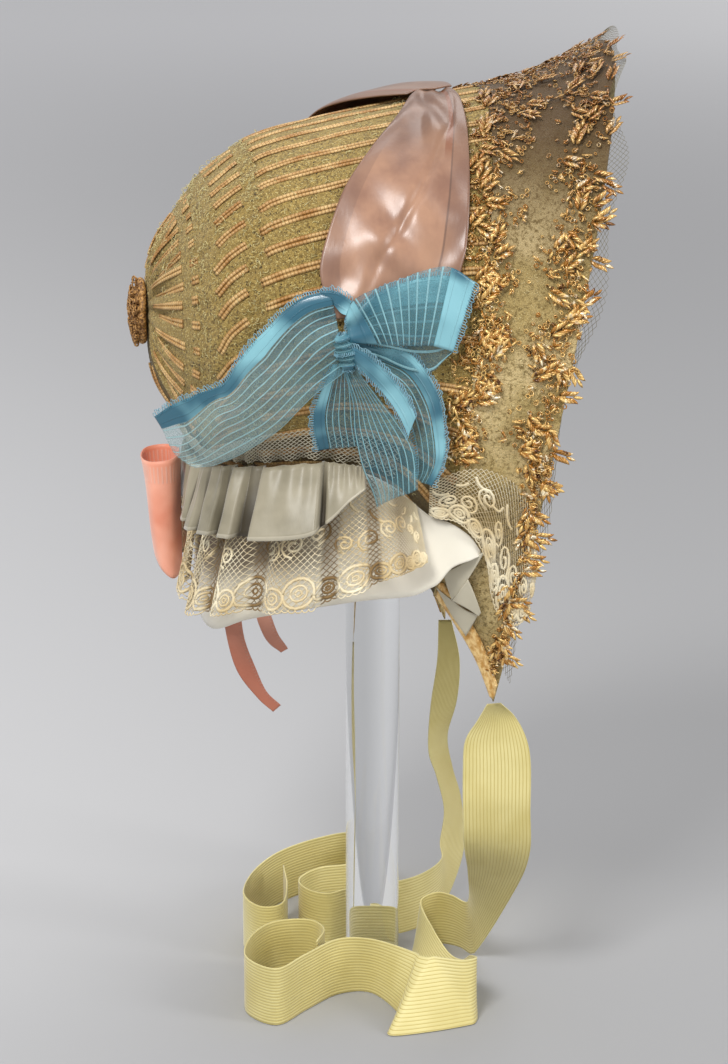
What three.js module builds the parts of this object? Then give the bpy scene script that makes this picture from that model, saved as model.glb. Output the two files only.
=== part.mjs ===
import * as THREE from "three";

// Poke bonnet on a clear display post, in millimetres.
// +X is the front of the bonnet, +Z is up and the origin is the middle of the post's foot.
// The bonnet is even about the plane Y = 0; the bow and the visible tie are on the -Y side.

// Driving sizes
const shellDepth = 184;
const shellWidth = 190;
const topRise = 135;
const cheekDrop = 194;
const knobHeight = 318;
const knobReach = 104;
const clothThickness = 2;
const seat = 0.4;
const postRadius = 12.7;
const buttonRadius = 15.5;
const buttonHeight = 6.5;
const ribHeight = 0.45;
const gatherDepth = 0.6;
const ribbonThickness = 0.9;
const silkThickness = 1.2;
const laceThickness = 0.9;
const laceFoldDepth = 6;
const laceFolds = 12;
const frillPleatDepth = 2.6;
const strawHeight = 3.4;
const tieWidth = 29;
const tieThickness = 0.9;
const tieSpread = 100;
const floorGap = 0.4;

// Where the brim is joined to the crown, as a share of the way from knob to front edge
const brimJoin = 0.745;
const joinGap = 0.0025;

// Cross sections of the bonnet from the knob to the front edge of the brim.
// way: share of the way; reach: place along X, share of the depth; axis: height of the section's
// middle below the knob, share of the rise; half: half width, share of the shell width;
// rise and drop: heights above and below the middle, shares of the top rise and cheek drop;
// lean: slope of the section; opening: half angle of cloth from the top, share of half a turn;
// sweep: how far the sides lie back, share of the depth.
const sections = [
  // way, reach, axis, half, rise, drop, lean, opening, sweep
  [0.0, 0.01, 0.0, 0.0, 0.0, 0.0, 0.0, 1.0, 0.0],
  [0.04, 0.019, 0.0, 0.09, 0.126, 0.088, 0.0, 1.0, 0.0],
  [0.09, 0.049, 0.007, 0.195, 0.244, 0.18, 0.0, 1.0, 0.0],
  [0.15, 0.098, 0.015, 0.289, 0.356, 0.258, 0.0, 1.0, 0.0],
  [0.2, 0.139, 0.02, 0.347, 0.441, 0.309, 0.0, 1.0, 0.0],
  [0.25, 0.185, 0.025, 0.382, 0.504, 0.34, 0.01, 0.9, 0.0],
  [0.32, 0.261, 0.03, 0.421, 0.585, 0.376, 0.02, 0.828, 0.0],
  [0.45, 0.413, 0.037, 0.453, 0.652, 0.407, 0.04, 0.778, 0.0],
  [0.6, 0.587, 0.052, 0.468, 0.719, 0.505, 0.08, 0.756, 0.005],
  [0.72, 0.728, 0.074, 0.479, 0.778, 0.737, 0.12, 0.744, 0.016],
  [0.82, 0.837, 0.104, 0.489, 0.844, 0.82, 0.17, 0.75, 0.027],
  [0.91, 0.924, 0.126, 0.495, 0.919, 0.907, 0.18, 0.761, 0.038],
  [1.0, 1.0, 0.141, 0.5, 1.0, 1.0, 0.19, 0.772, 0.054],
];
const sectionRoundness = 0.9;

// Value of one column at a place between the rows, along a smooth curve through them
function column(table, index, way) {
  const last = table.length - 1;
  let row = 0;
  while (row < last - 1 && way > table[row + 1][0]) row += 1;
  const slope = (at) => {
    const before = table[Math.max(at - 1, 0)];
    const after = table[Math.min(at + 1, last)];
    return (after[index] - before[index]) / (after[0] - before[0]);
  };
  const span = table[row + 1][0] - table[row][0];
  const t = (way - table[row][0]) / span;
  const t2 = t * t;
  const t3 = t2 * t;
  const start = (2 * t3 - 3 * t2 + 1) * table[row][index] + (t3 - 2 * t2 + t) * span * slope(row);
  const end = (3 * t2 - 2 * t3) * table[row + 1][index] + (t3 - t2) * span * slope(row + 1);
  return start + end;
}

const halfOpening = (way) => Math.PI * Math.min(column(sections, 7, way), 1);
const power = (value) => Math.sign(value) * Math.abs(value) ** sectionRoundness;

// Point of the bonnet's middle surface at an angle from the top of one section
function surfacePoint(way, angle) {
  const [reach, axis, half, rise, drop, lean] = [1, 2, 3, 4, 5, 6].map((i) =>
    column(sections, i, way),
  );
  const upward = power(Math.cos(angle));
  const height = upward * (upward > 0 ? rise * topRise : drop * cheekDrop);
  const sweep = column(sections, 8, way) * shellDepth * Math.abs(Math.sin(angle));
  return new THREE.Vector3(
    -knobReach + reach * shellDepth + lean * height - sweep,
    half * shellWidth * power(Math.sin(angle)),
    knobHeight - axis * topRise + height,
  );
}

// Outward direction of the middle surface
function surfaceNormal(way, angle) {
  const step = 0.002;
  const low = Math.max(way - step, 0.001);
  const along = surfacePoint(way + step, angle).sub(surfacePoint(low, angle));
  const around = surfacePoint(way, angle + step).sub(surfacePoint(way, angle - step));
  return along.cross(around).normalize();
}

// A place on the bonnet: way from knob to edge, turn from -1 (near edge) over the top (0) to +1,
// and the height of the point off the middle surface
function place(way, turn, height) {
  const angle = turn * halfOpening(way);
  return surfacePoint(way, angle).addScaledVector(surfaceNormal(way, angle), height);
}

// A closed body made of a grid of points and the outward direction at each.
// Rows up to joinedRows close round on themselves, so they have no side walls.
function thickSheet(points, normals, thickness, joinedRows = 0) {
  const rowCount = points.length;
  const size = points[0].length;
  const positions = [];
  for (const side of [0.5, -0.5]) {
    points.forEach((row, i) =>
      row.forEach((point, j) => {
        const vertex = point.clone().addScaledVector(normals[i][j], side * thickness);
        positions.push(vertex.x, vertex.y, vertex.z);
      }),
    );
  }
  const upper = (i, j) => i * size + j;
  const lower = (i, j) => rowCount * size + i * size + j;
  const faces = [];
  const quad = (a, b, c, d) => faces.push(a, b, c, a, c, d);
  for (let i = 0; i < rowCount - 1; i += 1) {
    for (let j = 0; j < size - 1; j += 1) {
      quad(upper(i, j), upper(i + 1, j), upper(i + 1, j + 1), upper(i, j + 1));
      quad(lower(i, j), lower(i, j + 1), lower(i + 1, j + 1), lower(i + 1, j));
    }
    if (i >= joinedRows) {
      quad(upper(i, 0), lower(i, 0), lower(i + 1, 0), upper(i + 1, 0));
      quad(upper(i + 1, size - 1), lower(i + 1, size - 1), lower(i, size - 1), upper(i, size - 1));
    }
  }
  const end = rowCount - 1;
  for (let j = 0; j < size - 1; j += 1) {
    quad(upper(0, j + 1), lower(0, j + 1), lower(0, j), upper(0, j));
    quad(upper(end, j), lower(end, j), lower(end, j + 1), upper(end, j + 1));
  }
  const geometry = new THREE.BufferGeometry();
  geometry.setAttribute("position", new THREE.Float32BufferAttribute(positions, 3));
  geometry.setIndex(faces);
  return outward(geometry);
}

// The same geometry with its faces turned round if they point into the body
function outward(geometry) {
  const position = geometry.getAttribute("position");
  const index = geometry.getIndex();
  const corner = [0, 1, 2].map(() => new THREE.Vector3());
  let volume = 0;
  for (let i = 0; i < index.count; i += 3) {
    corner.forEach((point, k) => point.fromBufferAttribute(position, index.getX(i + k)));
    volume += corner[0].dot(corner[1].clone().cross(corner[2]));
  }
  if (volume < 0) {
    for (let i = 0; i < index.count; i += 3) {
      const kept = index.getX(i);
      index.setX(i, index.getX(i + 1));
      index.setX(i + 1, kept);
    }
  }
  geometry.computeVertexNormals();
  return geometry;
}

// Directions square to a grid of points, for cloth that hangs free of the bonnet
function gridNormals(points) {
  const rows = points.length - 1;
  const columns = points[0].length - 1;
  return points.map((row, i) =>
    row.map((point, j) => {
      const along = points[Math.min(i + 1, rows)][j].clone().sub(points[Math.max(i - 1, 0)][j]);
      const across = row[Math.min(j + 1, columns)].clone().sub(row[Math.max(j - 1, 0)]);
      return along.cross(across).normalize();
    }),
  );
}

// Smooth rows between the rows of a short table; each row is an array of numbers
function smoothRows(table, count) {
  const numbered = table.map((row, i) => [i, ...row]);
  return Array.from({ length: count + 1 }, (_, k) => {
    const way = (k / count) * (table.length - 1);
    return table[0].map((_, index) => column(numbered, index + 1, way));
  });
}

function named(name, geometry, colour, roughness, metalness = 0) {
  const material = new THREE.MeshStandardMaterial({ color: colour, roughness, metalness });
  const mesh = new THREE.Mesh(geometry, material);
  mesh.name = name;
  return mesh;
}

// The far twin of a near piece, mirrored across the middle plane
function mirrored(geometry) {
  const copy = geometry.clone();
  copy.applyMatrix4(new THREE.Matrix4().makeScale(1, -1, 1));
  return outward(copy);
}

const strawGreen = "#a89a62";
const oldGold = "#b98a3c";
const tealBlue = "#4f9dbb";
const mauve = "#b59c93";
const ivory = "#dcd6c2";
const lace = "#d8c7a0";
const coral = "#d9806c";
const yellow = "#cdbf6e";

// Clear rod that carries the bonnet, with a domed top just under the crown
const domeRadius = 22;
function displayPost() {
  const top = place(wayAbove(0), 0, -clothThickness / 2 - ribHeight - seat).z;
  const outline = [new THREE.Vector2(0, 0), new THREE.Vector2(postRadius, 0)];
  const steps = 4;
  for (let i = steps; i >= 0; i -= 1) {
    const r = (postRadius * i) / steps;
    outline.push(new THREE.Vector2(r, top - (r * r) / (2 * domeRadius)));
  }
  const geometry = new THREE.LatheGeometry(outline, 24);
  geometry.rotateX(Math.PI / 2);
  return named("display_post", geometry, "#e8ecee", 0.05);
}

// Share of the way at which the top of the bonnet lies at a given place along X
function wayAbove(reach) {
  let low = 0.3;
  let high = 0.9;
  for (let i = 0; i < 30; i += 1) {
    const middle = (low + high) / 2;
    if (surfacePoint(middle, 0).x < reach) low = middle;
    else high = middle;
  }
  return low;
}

// Crown: gauze over lengthwise pairs of straw cords, drawn in by two hoop gathers
const crownRibs = 28;
const crownWays = [0.014, 0.05, 0.1, 0.15, 0.18, 0.2, 0.24, 0.295, 0.35, 0.44, 0.53, 0.59, 0.66];
const gatherWays = [0.18, 0.295];
const gatherSpread = 0.02;

function crownRelief(way, step) {
  const rib = (step % 2 === 0 ? ribHeight : -ribHeight) * Math.min(1, way / 0.15);
  const gather = gatherWays
    .map((at) => gatherDepth * Math.exp(-(((way - at) / gatherSpread) ** 2)))
    .reduce((sum, value) => sum + value, 0);
  return rib - gather;
}

function crown() {
  const ways = [...crownWays, brimJoin - joinGap];
  const steps = crownRibs * 2;
  const turns = Array.from({ length: steps + 1 }, (_, j) => (2 * j) / steps - 1);
  const points = ways.map((way) => turns.map((turn, j) => place(way, turn, crownRelief(way, j))));
  const normals = ways.map((way) =>
    turns.map((turn) => surfaceNormal(way, turn * halfOpening(way))),
  );
  const joinedRows = ways.filter((way) => way <= 0.2).length - 1;
  return named("crown", thickSheet(points, normals, clothThickness, joinedRows), strawGreen, 0.9);
}

// Knotted cord button over the middle of the crown's back
function crownButton() {
  const outline = [
    // radius share, height share
    [0, -0.02],
    [0.45, -0.05],
    [0.8, -0.12],
    [1.0, 0.1],
    [0.98, 0.5],
    [0.8, 0.78],
    [0.62, 0.66],
    [0.42, 0.95],
    [0.2, 0.8],
    [0, 1.0],
  ].map(([radius, height]) => new THREE.Vector2(radius * buttonRadius, height * buttonHeight));
  const geometry = new THREE.LatheGeometry(outline, 20);
  geometry.rotateZ(Math.PI / 2);
  geometry.translate(-knobReach + 0.01 * shellDepth - clothThickness / 2 - seat, 0, knobHeight);
  return named("crown_button", geometry, "#8a6a36", 0.8);
}

// Brim: stiffened gauze from the crown to the front edge, with two long cheeks
const brimWaves = 9;
const brimWaveHeight = 0.7;
const brimThickness = 1.6;

// Height of the brim's waves, growing from none at the crown to the full size at the edge
function brimWave(way, turn) {
  const share = Math.min(1, Math.max(0, (way - brimJoin) / (1 - brimJoin)));
  return brimWaveHeight * share * Math.cos(turn * brimWaves * Math.PI);
}

function brim() {
  const ways = [brimJoin, 0.8, 0.85, 0.9, 0.95, 1.0];
  const steps = 36;
  const turns = Array.from({ length: steps + 1 }, (_, j) => (2 * j) / steps - 1);
  const points = ways.map((way) => turns.map((turn) => place(way, turn, brimWave(way, turn))));
  const normals = ways.map((way) =>
    turns.map((turn) => surfaceNormal(way, turn * halfOpening(way))),
  );
  return named("brim", thickSheet(points, normals, brimThickness), strawGreen, 0.85);
}

// A strip laid over the bonnet: each row of the table holds the way and turn of its one edge, the
// way and turn of its other edge, and its height off the middle surface
function laidStrip(table, divisions, across, thickness, relief = () => 0, ground = () => 0) {
  const rows = smoothRows(table, divisions);
  const points = [];
  rows.forEach(([wayA, turnA, wayB, turnB, height], i) => {
    points.push(
      Array.from({ length: across + 1 }, (_, j) => {
        const share = j / across;
        const way = wayA + (wayB - wayA) * share;
        const turn = turnA + (turnB - turnA) * share;
        return place(way, turn, height + ground(way, turn) + relief(i / divisions, share));
      }),
    );
  });
  return thickSheet(points, gridNormals(points), thickness);
}

// Heights at which a piece of a given thickness sits on the crown or on the brim
const onCloth = (thickness) => clothThickness / 2 + ribHeight + seat + thickness / 2;
const onBrim = (thickness) => brimThickness / 2 + seat + thickness / 2;

// Straw ears and beads along the brim, fused to two bumpy garlands on each half
const garlandBack = [
  // way and turn of the back edge, way and turn of the front edge, height
  [0.765, -0.02, 0.85, -0.02, 1],
  [0.76, -0.2, 0.85, -0.22, 1],
  [0.755, -0.4, 0.825, -0.42, 1],
  [0.752, -0.58, 0.8, -0.6, 1],
  [0.752, -0.73, 0.8, -0.7, 1],
];
const garlandFront = [
  [0.89, -0.02, 0.985, -0.02, 1],
  [0.9, -0.2, 0.99, -0.22, 1],
  [0.9, -0.4, 0.985, -0.42, 1],
  [0.9, -0.58, 0.98, -0.58, 1],
  [0.91, -0.69, 0.985, -0.69, 1],
];
const garlandThickness = 2;
function strawGarlands() {
  const height = onBrim(garlandThickness);
  const bump = (along, across) =>
    0.25 * strawHeight * (1 + Math.sin(along * 90) * Math.cos(across * 9));
  return [
    ["back", garlandBack],
    ["front", garlandFront],
  ].flatMap(([name, table]) => {
    const rows = table.map((row) => [...row.slice(0, 4), height]);
    const geometry = laidStrip(rows, 16, 2, garlandThickness, bump, brimWave);
    return [
      named(`straw_${name}_near`, geometry, oldGold, 0.35, 0.3),
      named(`straw_${name}_far`, mirrored(geometry), oldGold, 0.35, 0.3),
    ];
  });
}

// Woven straw braid along the rear edge of each cheek
const braidThickness = 1.8;
function cheekBraids() {
  const height = onBrim(braidThickness);
  const table = [
    [0.752, -0.998, 0.752, -0.955, height],
    [0.83, -0.998, 0.83, -0.955, height],
    [0.91, -0.998, 0.91, -0.957, height],
    [0.995, -0.998, 0.995, -0.962, height],
  ];
  const twist = (along) => 0.15 * (1 + Math.sin(along * 110));
  const geometry = laidStrip(table, 14, 1, braidThickness, twist, brimWave);
  return [
    named("cheek_braid_near", geometry, oldGold, 0.55),
    named("cheek_braid_far", mirrored(geometry), oldGold, 0.55),
  ];
}

// Wide silk band, one leaf-shaped half on each side, gathered at the top and under the bow
const silkBand = [
  // way and turn of the back edge, way and turn of the front edge, puff
  [0.622, -0.03, 0.685, -0.028, 1.2],
  [0.6, -0.09, 0.693, -0.09, 1.2],
  [0.575, -0.15, 0.697, -0.19, 0.8],
  [0.526, -0.229, 0.697, -0.277, 0.4],
  [0.47, -0.325, 0.697, -0.393, 0.2],
  [0.434, -0.419, 0.696, -0.456, 0.2],
  [0.418, -0.487, 0.69, -0.511, 0.2],
  [0.43, -0.546, 0.664, -0.566, 0.0],
  [0.45, -0.585, 0.56, -0.592, 0.0],
];
const silkFold = 0.9;
function silkBands() {
  const base = onCloth(silkThickness) + silkFold;
  const rows = silkBand.map(([wayA, turnA, wayB, turnB, puff]) => [
    wayA,
    turnA,
    wayB,
    turnB,
    base + puff,
  ]);
  const fold = (along, across) =>
    silkFold * Math.sin(along * 3 + across * 13) * Math.sin(Math.PI * across);
  const geometry = laidStrip(rows, 14, 6, silkThickness, fold);
  return [
    named("silk_band_near", geometry, mauve, 0.45),
    named("silk_band_far", mirrored(geometry), mauve, 0.45),
  ];
}

// Blue bow on the near side: height is off the middle surface in millimetres
const bowLoop = [
  // way and turn of the upper edge, way and turn of the lower edge, height
  [0.495, -0.596, 0.497, -0.63, 5.4],
  [0.541, -0.55, 0.556, -0.643, 5.6],
  [0.626, -0.525, 0.646, -0.641, 6],
  [0.69, -0.53, 0.69, -0.635, 7],
  [0.706, -0.54, 0.706, -0.63, 9.6],
  [0.685, -0.535, 0.685, -0.635, 12.4],
  [0.623, -0.522, 0.637, -0.64, 13],
  [0.54, -0.55, 0.549, -0.638, 12.2],
  [0.495, -0.595, 0.497, -0.628, 9.6],
];
const bowFold = [
  [0.49, -0.65, 0.505, -0.64, 2.9],
  [0.523, -0.676, 0.598, -0.65, 2.8],
  [0.582, -0.72, 0.67, -0.672, 2.8],
  [0.614, -0.763, 0.672, -0.715, 3.4],
  [0.635, -0.804, 0.69, -0.752, 5.5],
  [0.662, -0.839, 0.695, -0.795, 8.5],
];
const bowTailBack = [
  [0.447, -0.6, 0.45, -0.65, 5.6],
  [0.414, -0.538, 0.432, -0.684, 5.6],
  [0.366, -0.541, 0.397, -0.717, 6],
  [0.315, -0.571, 0.361, -0.757, 6.5],
  [0.273, -0.59, 0.312, -0.795, 8],
  [0.221, -0.591, 0.27, -0.809, 12],
  [0.182, -0.623, 0.238, -0.79, 18],
  [0.165, -0.646, 0.232, -0.775, 22],
];
const bowTailShort = [
  [0.44, -0.686, 0.462, -0.684, 3.4],
  [0.412, -0.721, 0.463, -0.727, 3.4],
  [0.418, -0.789, 0.473, -0.79, 4.0],
  [0.436, -0.845, 0.483, -0.835, 4.6],
];
const bowTailFront = [
  [0.462, -0.666, 0.49, -0.666, 7.4],
  [0.477, -0.712, 0.563, -0.708, 8.8],
  [0.49, -0.779, 0.647, -0.756, 11],
  [0.528, -0.86, 0.679, -0.79, 15],
  [0.585, -0.91, 0.696, -0.81, 18],
];
const knotWay = 0.468;
const knotTurn = -0.638;
const knotHalf = { along: 3.6, across: 7.5, high: 5.2 };

function blueBow() {
  const ripple = (size, waves) => (along, across) =>
    size * Math.sin(across * waves * Math.PI) * Math.sin(Math.PI * along);
  const strip = (name, table, divisions, folds) =>
    named(name, laidStrip(table, divisions, 3, ribbonThickness, folds), tealBlue, 0.5);
  return [
    strip("bow_loop", bowLoop, 18, ripple(0.5, 2)),
    strip("bow_fold", bowFold, 9, ripple(0.35, 2)),
    strip("bow_tail_back", bowTailBack, 11, ripple(0.6, 2)),
    strip("bow_tail_short", bowTailShort, 5, ripple(0.3, 2)),
    strip("bow_tail_front", bowTailFront, 9, ripple(1.0, 2.5)),
    bowKnot(),
  ];
}

function bowKnot() {
  const angle = knotTurn * halfOpening(knotWay);
  const normal = surfaceNormal(knotWay, angle);
  const along = surfacePoint(knotWay + 0.01, angle).sub(surfacePoint(knotWay, angle));
  along.addScaledVector(normal, -along.dot(normal)).normalize();
  const across = normal.clone().cross(along);
  const geometry = new THREE.SphereGeometry(1, 12, 8);
  geometry.scale(knotHalf.along, knotHalf.across, knotHalf.high);
  geometry.applyMatrix4(new THREE.Matrix4().makeBasis(along, across, normal));
  const middle = place(knotWay, knotTurn, onCloth(0) + knotHalf.high);
  geometry.translate(middle.x, middle.y, middle.z);
  return named("bow_knot", geometry, tealBlue, 0.5);
}

// Trims round the neck. Each row of a near half runs from the cheek to the nape; the far half is
// its mirror. way and turn: top line on the bonnet; out: flare of the lower edge away from the
// neck's middle, share of the flare; down: length, share of the neck trim's length.
const neckMiddle = -10;
const neckFlare = 20;
const neckLength = 60;

function hangingTrim(table, lift, divisions, down, thickness, pleat) {
  const near = smoothRows(table, divisions);
  const far = near.slice(0, -1).reverse();
  const rows = [...near, ...far.map(([way, turn, ...rest]) => [way, -turn, ...rest])];
  const points = rows.map(([way, turn, out, length], i) => {
    const top = place(way, turn, lift);
    const radial = new THREE.Vector3(top.x - neckMiddle, top.y, 0).normalize();
    return Array.from({ length: down + 1 }, (_, j) => {
      const share = j / down;
      const fold = pleat(i, rows.length - 1, share);
      return top
        .clone()
        .addScaledVector(radial, out * neckFlare * share + fold)
        .add(new THREE.Vector3(0, 0, -length * neckLength * share));
    });
  });
  return thickSheet(points, gridNormals(points), thickness);
}

const curtainRows = [
  // way, turn, out, down
  [0.84, -0.858, 0.02, 0.03],
  [0.8, -0.855, 0.1, 0.17],
  [0.735, -0.863, 0.25, 0.33],
  [0.68, -0.885, 0.45, 0.52],
  [0.6, -0.905, 0.62, 0.78],
  [0.45, -0.905, 0.6, 1.0],
  [0.32, -0.91, 0.48, 1.1],
  [0.25, -0.92, 0.42, 1.22],
  [0.208, -0.95, 0.2, 1.1],
  [0.19, -1.0, 0.0, 1.0],
];
const laceRows = [
  [0.66, -0.885, 0.7, 0.36],
  [0.6, -0.9, 0.9, 0.55],
  [0.45, -0.9, 1.0, 0.9],
  [0.32, -0.905, 0.9, 0.95],
  [0.25, -0.915, 0.72, 1.0],
  [0.208, -0.945, 0.32, 0.85],
  [0.19, -1.0, 0.06, 0.72],
];
const frillRows = [
  [0.53, -0.875, 0.5, 0.3],
  [0.5, -0.875, 0.6, 0.42],
  [0.43, -0.875, 0.62, 0.5],
  [0.32, -0.872, 0.54, 0.48],
  [0.25, -0.87, 0.44, 0.47],
  [0.205, -0.91, 0.27, 0.42],
  [0.185, -1.0, 0.07, 0.38],
];
const netRows = [
  // way and turn of the upper edge, way and turn of the lower edge
  [0.6, -0.8, 0.6, -0.868],
  [0.45, -0.8, 0.45, -0.868],
  [0.32, -0.79, 0.32, -0.865],
  [0.24, -0.8, 0.25, -0.865],
  [0.17, -0.83, 0.2, -0.885],
  [0.125, -0.9, 0.18, -0.93],
  [0.12, -1.0, 0.168, -1.0],
];

function neckTrims() {
  const curtainLift = onCloth(silkThickness);
  const laceLift = curtainLift + silkThickness / 2 + 2 * seat + laceThickness / 2;
  const frillLift = laceLift + laceThickness / 2 + seat + silkThickness / 2;
  const soft = (size, waves) => (i, count, share) =>
    size * share * (Math.sin((i / count) * waves * 2 * Math.PI) - 1);
  const fromNape = (i, count) => Math.min(1, Math.abs(i / count - 0.5) * 9);
  const pleats = (i, count, share) => {
    const edge = Math.min(1, Math.min(i, count - i) / 2);
    return frillPleatDepth * edge * fromNape(i, count) * (i % 4 < 2 ? 0.4 + 0.6 * share : 0);
  };
  const deep = (i, count, share) => {
    const wave = 0.5 + 0.5 * Math.sin((i / count) * laceFolds * 2 * Math.PI);
    return laceFoldDepth * fromNape(i, count) * share * wave;
  };
  const curtain = hangingTrim(curtainRows, curtainLift, 16, 2, silkThickness, soft(0.8, 5));
  const flounce = hangingTrim(laceRows, laceLift, 26, 3, laceThickness, deep);
  const frill = hangingTrim(frillRows, frillLift, 24, 1, silkThickness, pleats);
  return [
    named("curtain", curtain, ivory, 0.5),
    named("lace_flounce", flounce, lace, 0.9),
    named("silk_frill", frill, ivory, 0.5),
    named("net_band", netBand(), "#b8b098", 0.95),
  ];
}

function netBand() {
  const near = smoothRows(netRows, 13);
  const far = near
    .slice(0, -1)
    .reverse()
    .map(([wayA, turnA, wayB, turnB]) => [wayA, -turnA, wayB, -turnB]);
  const across = 1;
  const points = [...near, ...far].map(([wayA, turnA, wayB, turnB]) =>
    Array.from({ length: across + 1 }, (_, j) => {
      const share = j / across;
      const way = wayA + (wayB - wayA) * share;
      return place(way, turnA + (turnB - turnA) * share, onCloth(laceThickness) + seat / 2);
    }),
  );
  return thickSheet(points, gridNormals(points), laceThickness);
}

// Lace panel over each cheek, running on from the flounce to the front edge and a little past it
const cheekLace = [
  // way and turn of the upper edge, way and turn of the lower edge, height
  [0.676, -0.825, 0.69, -0.872, 3.2],
  [0.73, -0.79, 0.745, -0.85, 3.0],
  [0.79, -0.768, 0.8, -0.845, 2.6],
  [0.85, -0.758, 0.86, -0.855, 1.8],
  [0.9, -0.755, 0.895, -0.882, 0.6],
  [0.95, -0.76, 0.94, -0.888, 0.2],
  [1.0, -0.775, 1.0, -0.87, 0.2],
  [1.035, -0.8, 1.035, -0.85, 0.2],
];
// Folded end of the ivory curtain ribbon, caught inside the braid of each cheek
const cheekFold = [
  [0.785, -0.907, 0.84, -0.9, 0.1],
  [0.785, -0.925, 0.85, -0.915, 1.2],
  [0.795, -0.95, 0.86, -0.943, 0.1],
];
function cheekTrims() {
  const atHeight = (table, base) => table.map((row) => [...row.slice(0, 4), base + row[4]]);
  const scallop = (along, across) => 0.4 * across * (1 + Math.sin(along * 30));
  const panelRows = atHeight(cheekLace, onBrim(laceThickness));
  const panel = laidStrip(panelRows, 14, 2, laceThickness, scallop, brimWave);
  const foldRows = atHeight(cheekFold, onBrim(silkThickness));
  const fold = laidStrip(foldRows, 6, 1, silkThickness, () => 0, brimWave);
  return [
    named("cheek_lace_near", panel, lace, 0.9),
    named("cheek_lace_far", mirrored(panel), lace, 0.9),
    named("cheek_fold_near", fold, ivory, 0.5),
    named("cheek_fold_far", mirrored(fold), ivory, 0.5),
  ];
}

// A free ribbon: each row holds both of its edges, x, y and z in millimetres
function freeStrip(rows, divisions, across, thickness) {
  const points = smoothRows(rows, divisions).map(([ax, ay, az, bx, by, bz]) => {
    const start = new THREE.Vector3(ax, ay, Math.max(az, floorGap));
    const end = new THREE.Vector3(bx, by, Math.max(bz, floorGap));
    return Array.from({ length: across + 1 }, (_, j) => start.clone().lerp(end, j / across));
  });
  return thickSheet(points, gridNormals(points), thickness);
}

// Rows of a ribbon that is placed from one point of the bonnet
function rowsFrom(table, { x, y, z }) {
  return table.map(([ax, ay, az, bx, by, bz]) => [
    x + ax * tieSpread,
    y + ay * tieSpread,
    z + az * tieSpread,
    x + bx * tieSpread,
    y + by * tieSpread,
    z + bz * tieSpread,
  ]);
}

// Coral ribbon at the nape: one upright loop and two tails under the curtain. The loop is placed
// from the middle of the nape and the tails from the neck edge; all in shares of the tie spread.
const napeMiddle = place(0.19, 1, 0);
const neckEdge = place(0.25, -0.92, 0);
const napeLoop = [
  // lower edge x, y, z and upper edge x, y, z, from the nape
  [-0.085, -0.03, -0.592, -0.085, -0.03, -0.042],
  [-0.13, -0.1, -0.612, -0.14, -0.115, -0.052],
  [-0.18, -0.09, -0.572, -0.23, -0.1, -0.062],
  [-0.2, 0.0, -0.512, -0.265, 0.0, -0.062],
  [-0.18, 0.09, -0.532, -0.23, 0.1, -0.042],
  [-0.13, 0.1, -0.572, -0.14, 0.115, -0.032],
  [-0.085, 0.03, -0.572, -0.085, 0.03, -0.032],
];
const napeTailLong = [
  [-0.033, -0.064, -0.592, 0.035, -0.108, -0.572],
  [-0.02, -0.081, -0.772, 0.055, -0.101, -0.772],
  [0.025, -0.081, -0.942, 0.105, -0.081, -0.922],
  [0.115, -0.081, -1.072, 0.155, -0.081, -1.042],
  [0.185, -0.081, -1.142, 0.22, -0.081, -1.112],
];
const napeTailShort = [
  [0.07, -0.201, -0.532, 0.12, -0.241, -0.512],
  [0.135, -0.171, -0.752, 0.195, -0.201, -0.732],
  [0.215, -0.151, -0.842, 0.245, -0.161, -0.822],
];
function napeRibbons() {
  const strip = (name, table, from, divisions) =>
    named(name, freeStrip(rowsFrom(table, from), divisions, 1, ribbonThickness), coral, 0.5);
  return [
    strip("nape_loop", napeLoop, napeMiddle, 14),
    strip("nape_tail_long", napeTailLong, neckEdge, 8),
    strip("nape_tail_short", napeTailShort, neckEdge, 5),
  ];
}

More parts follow.
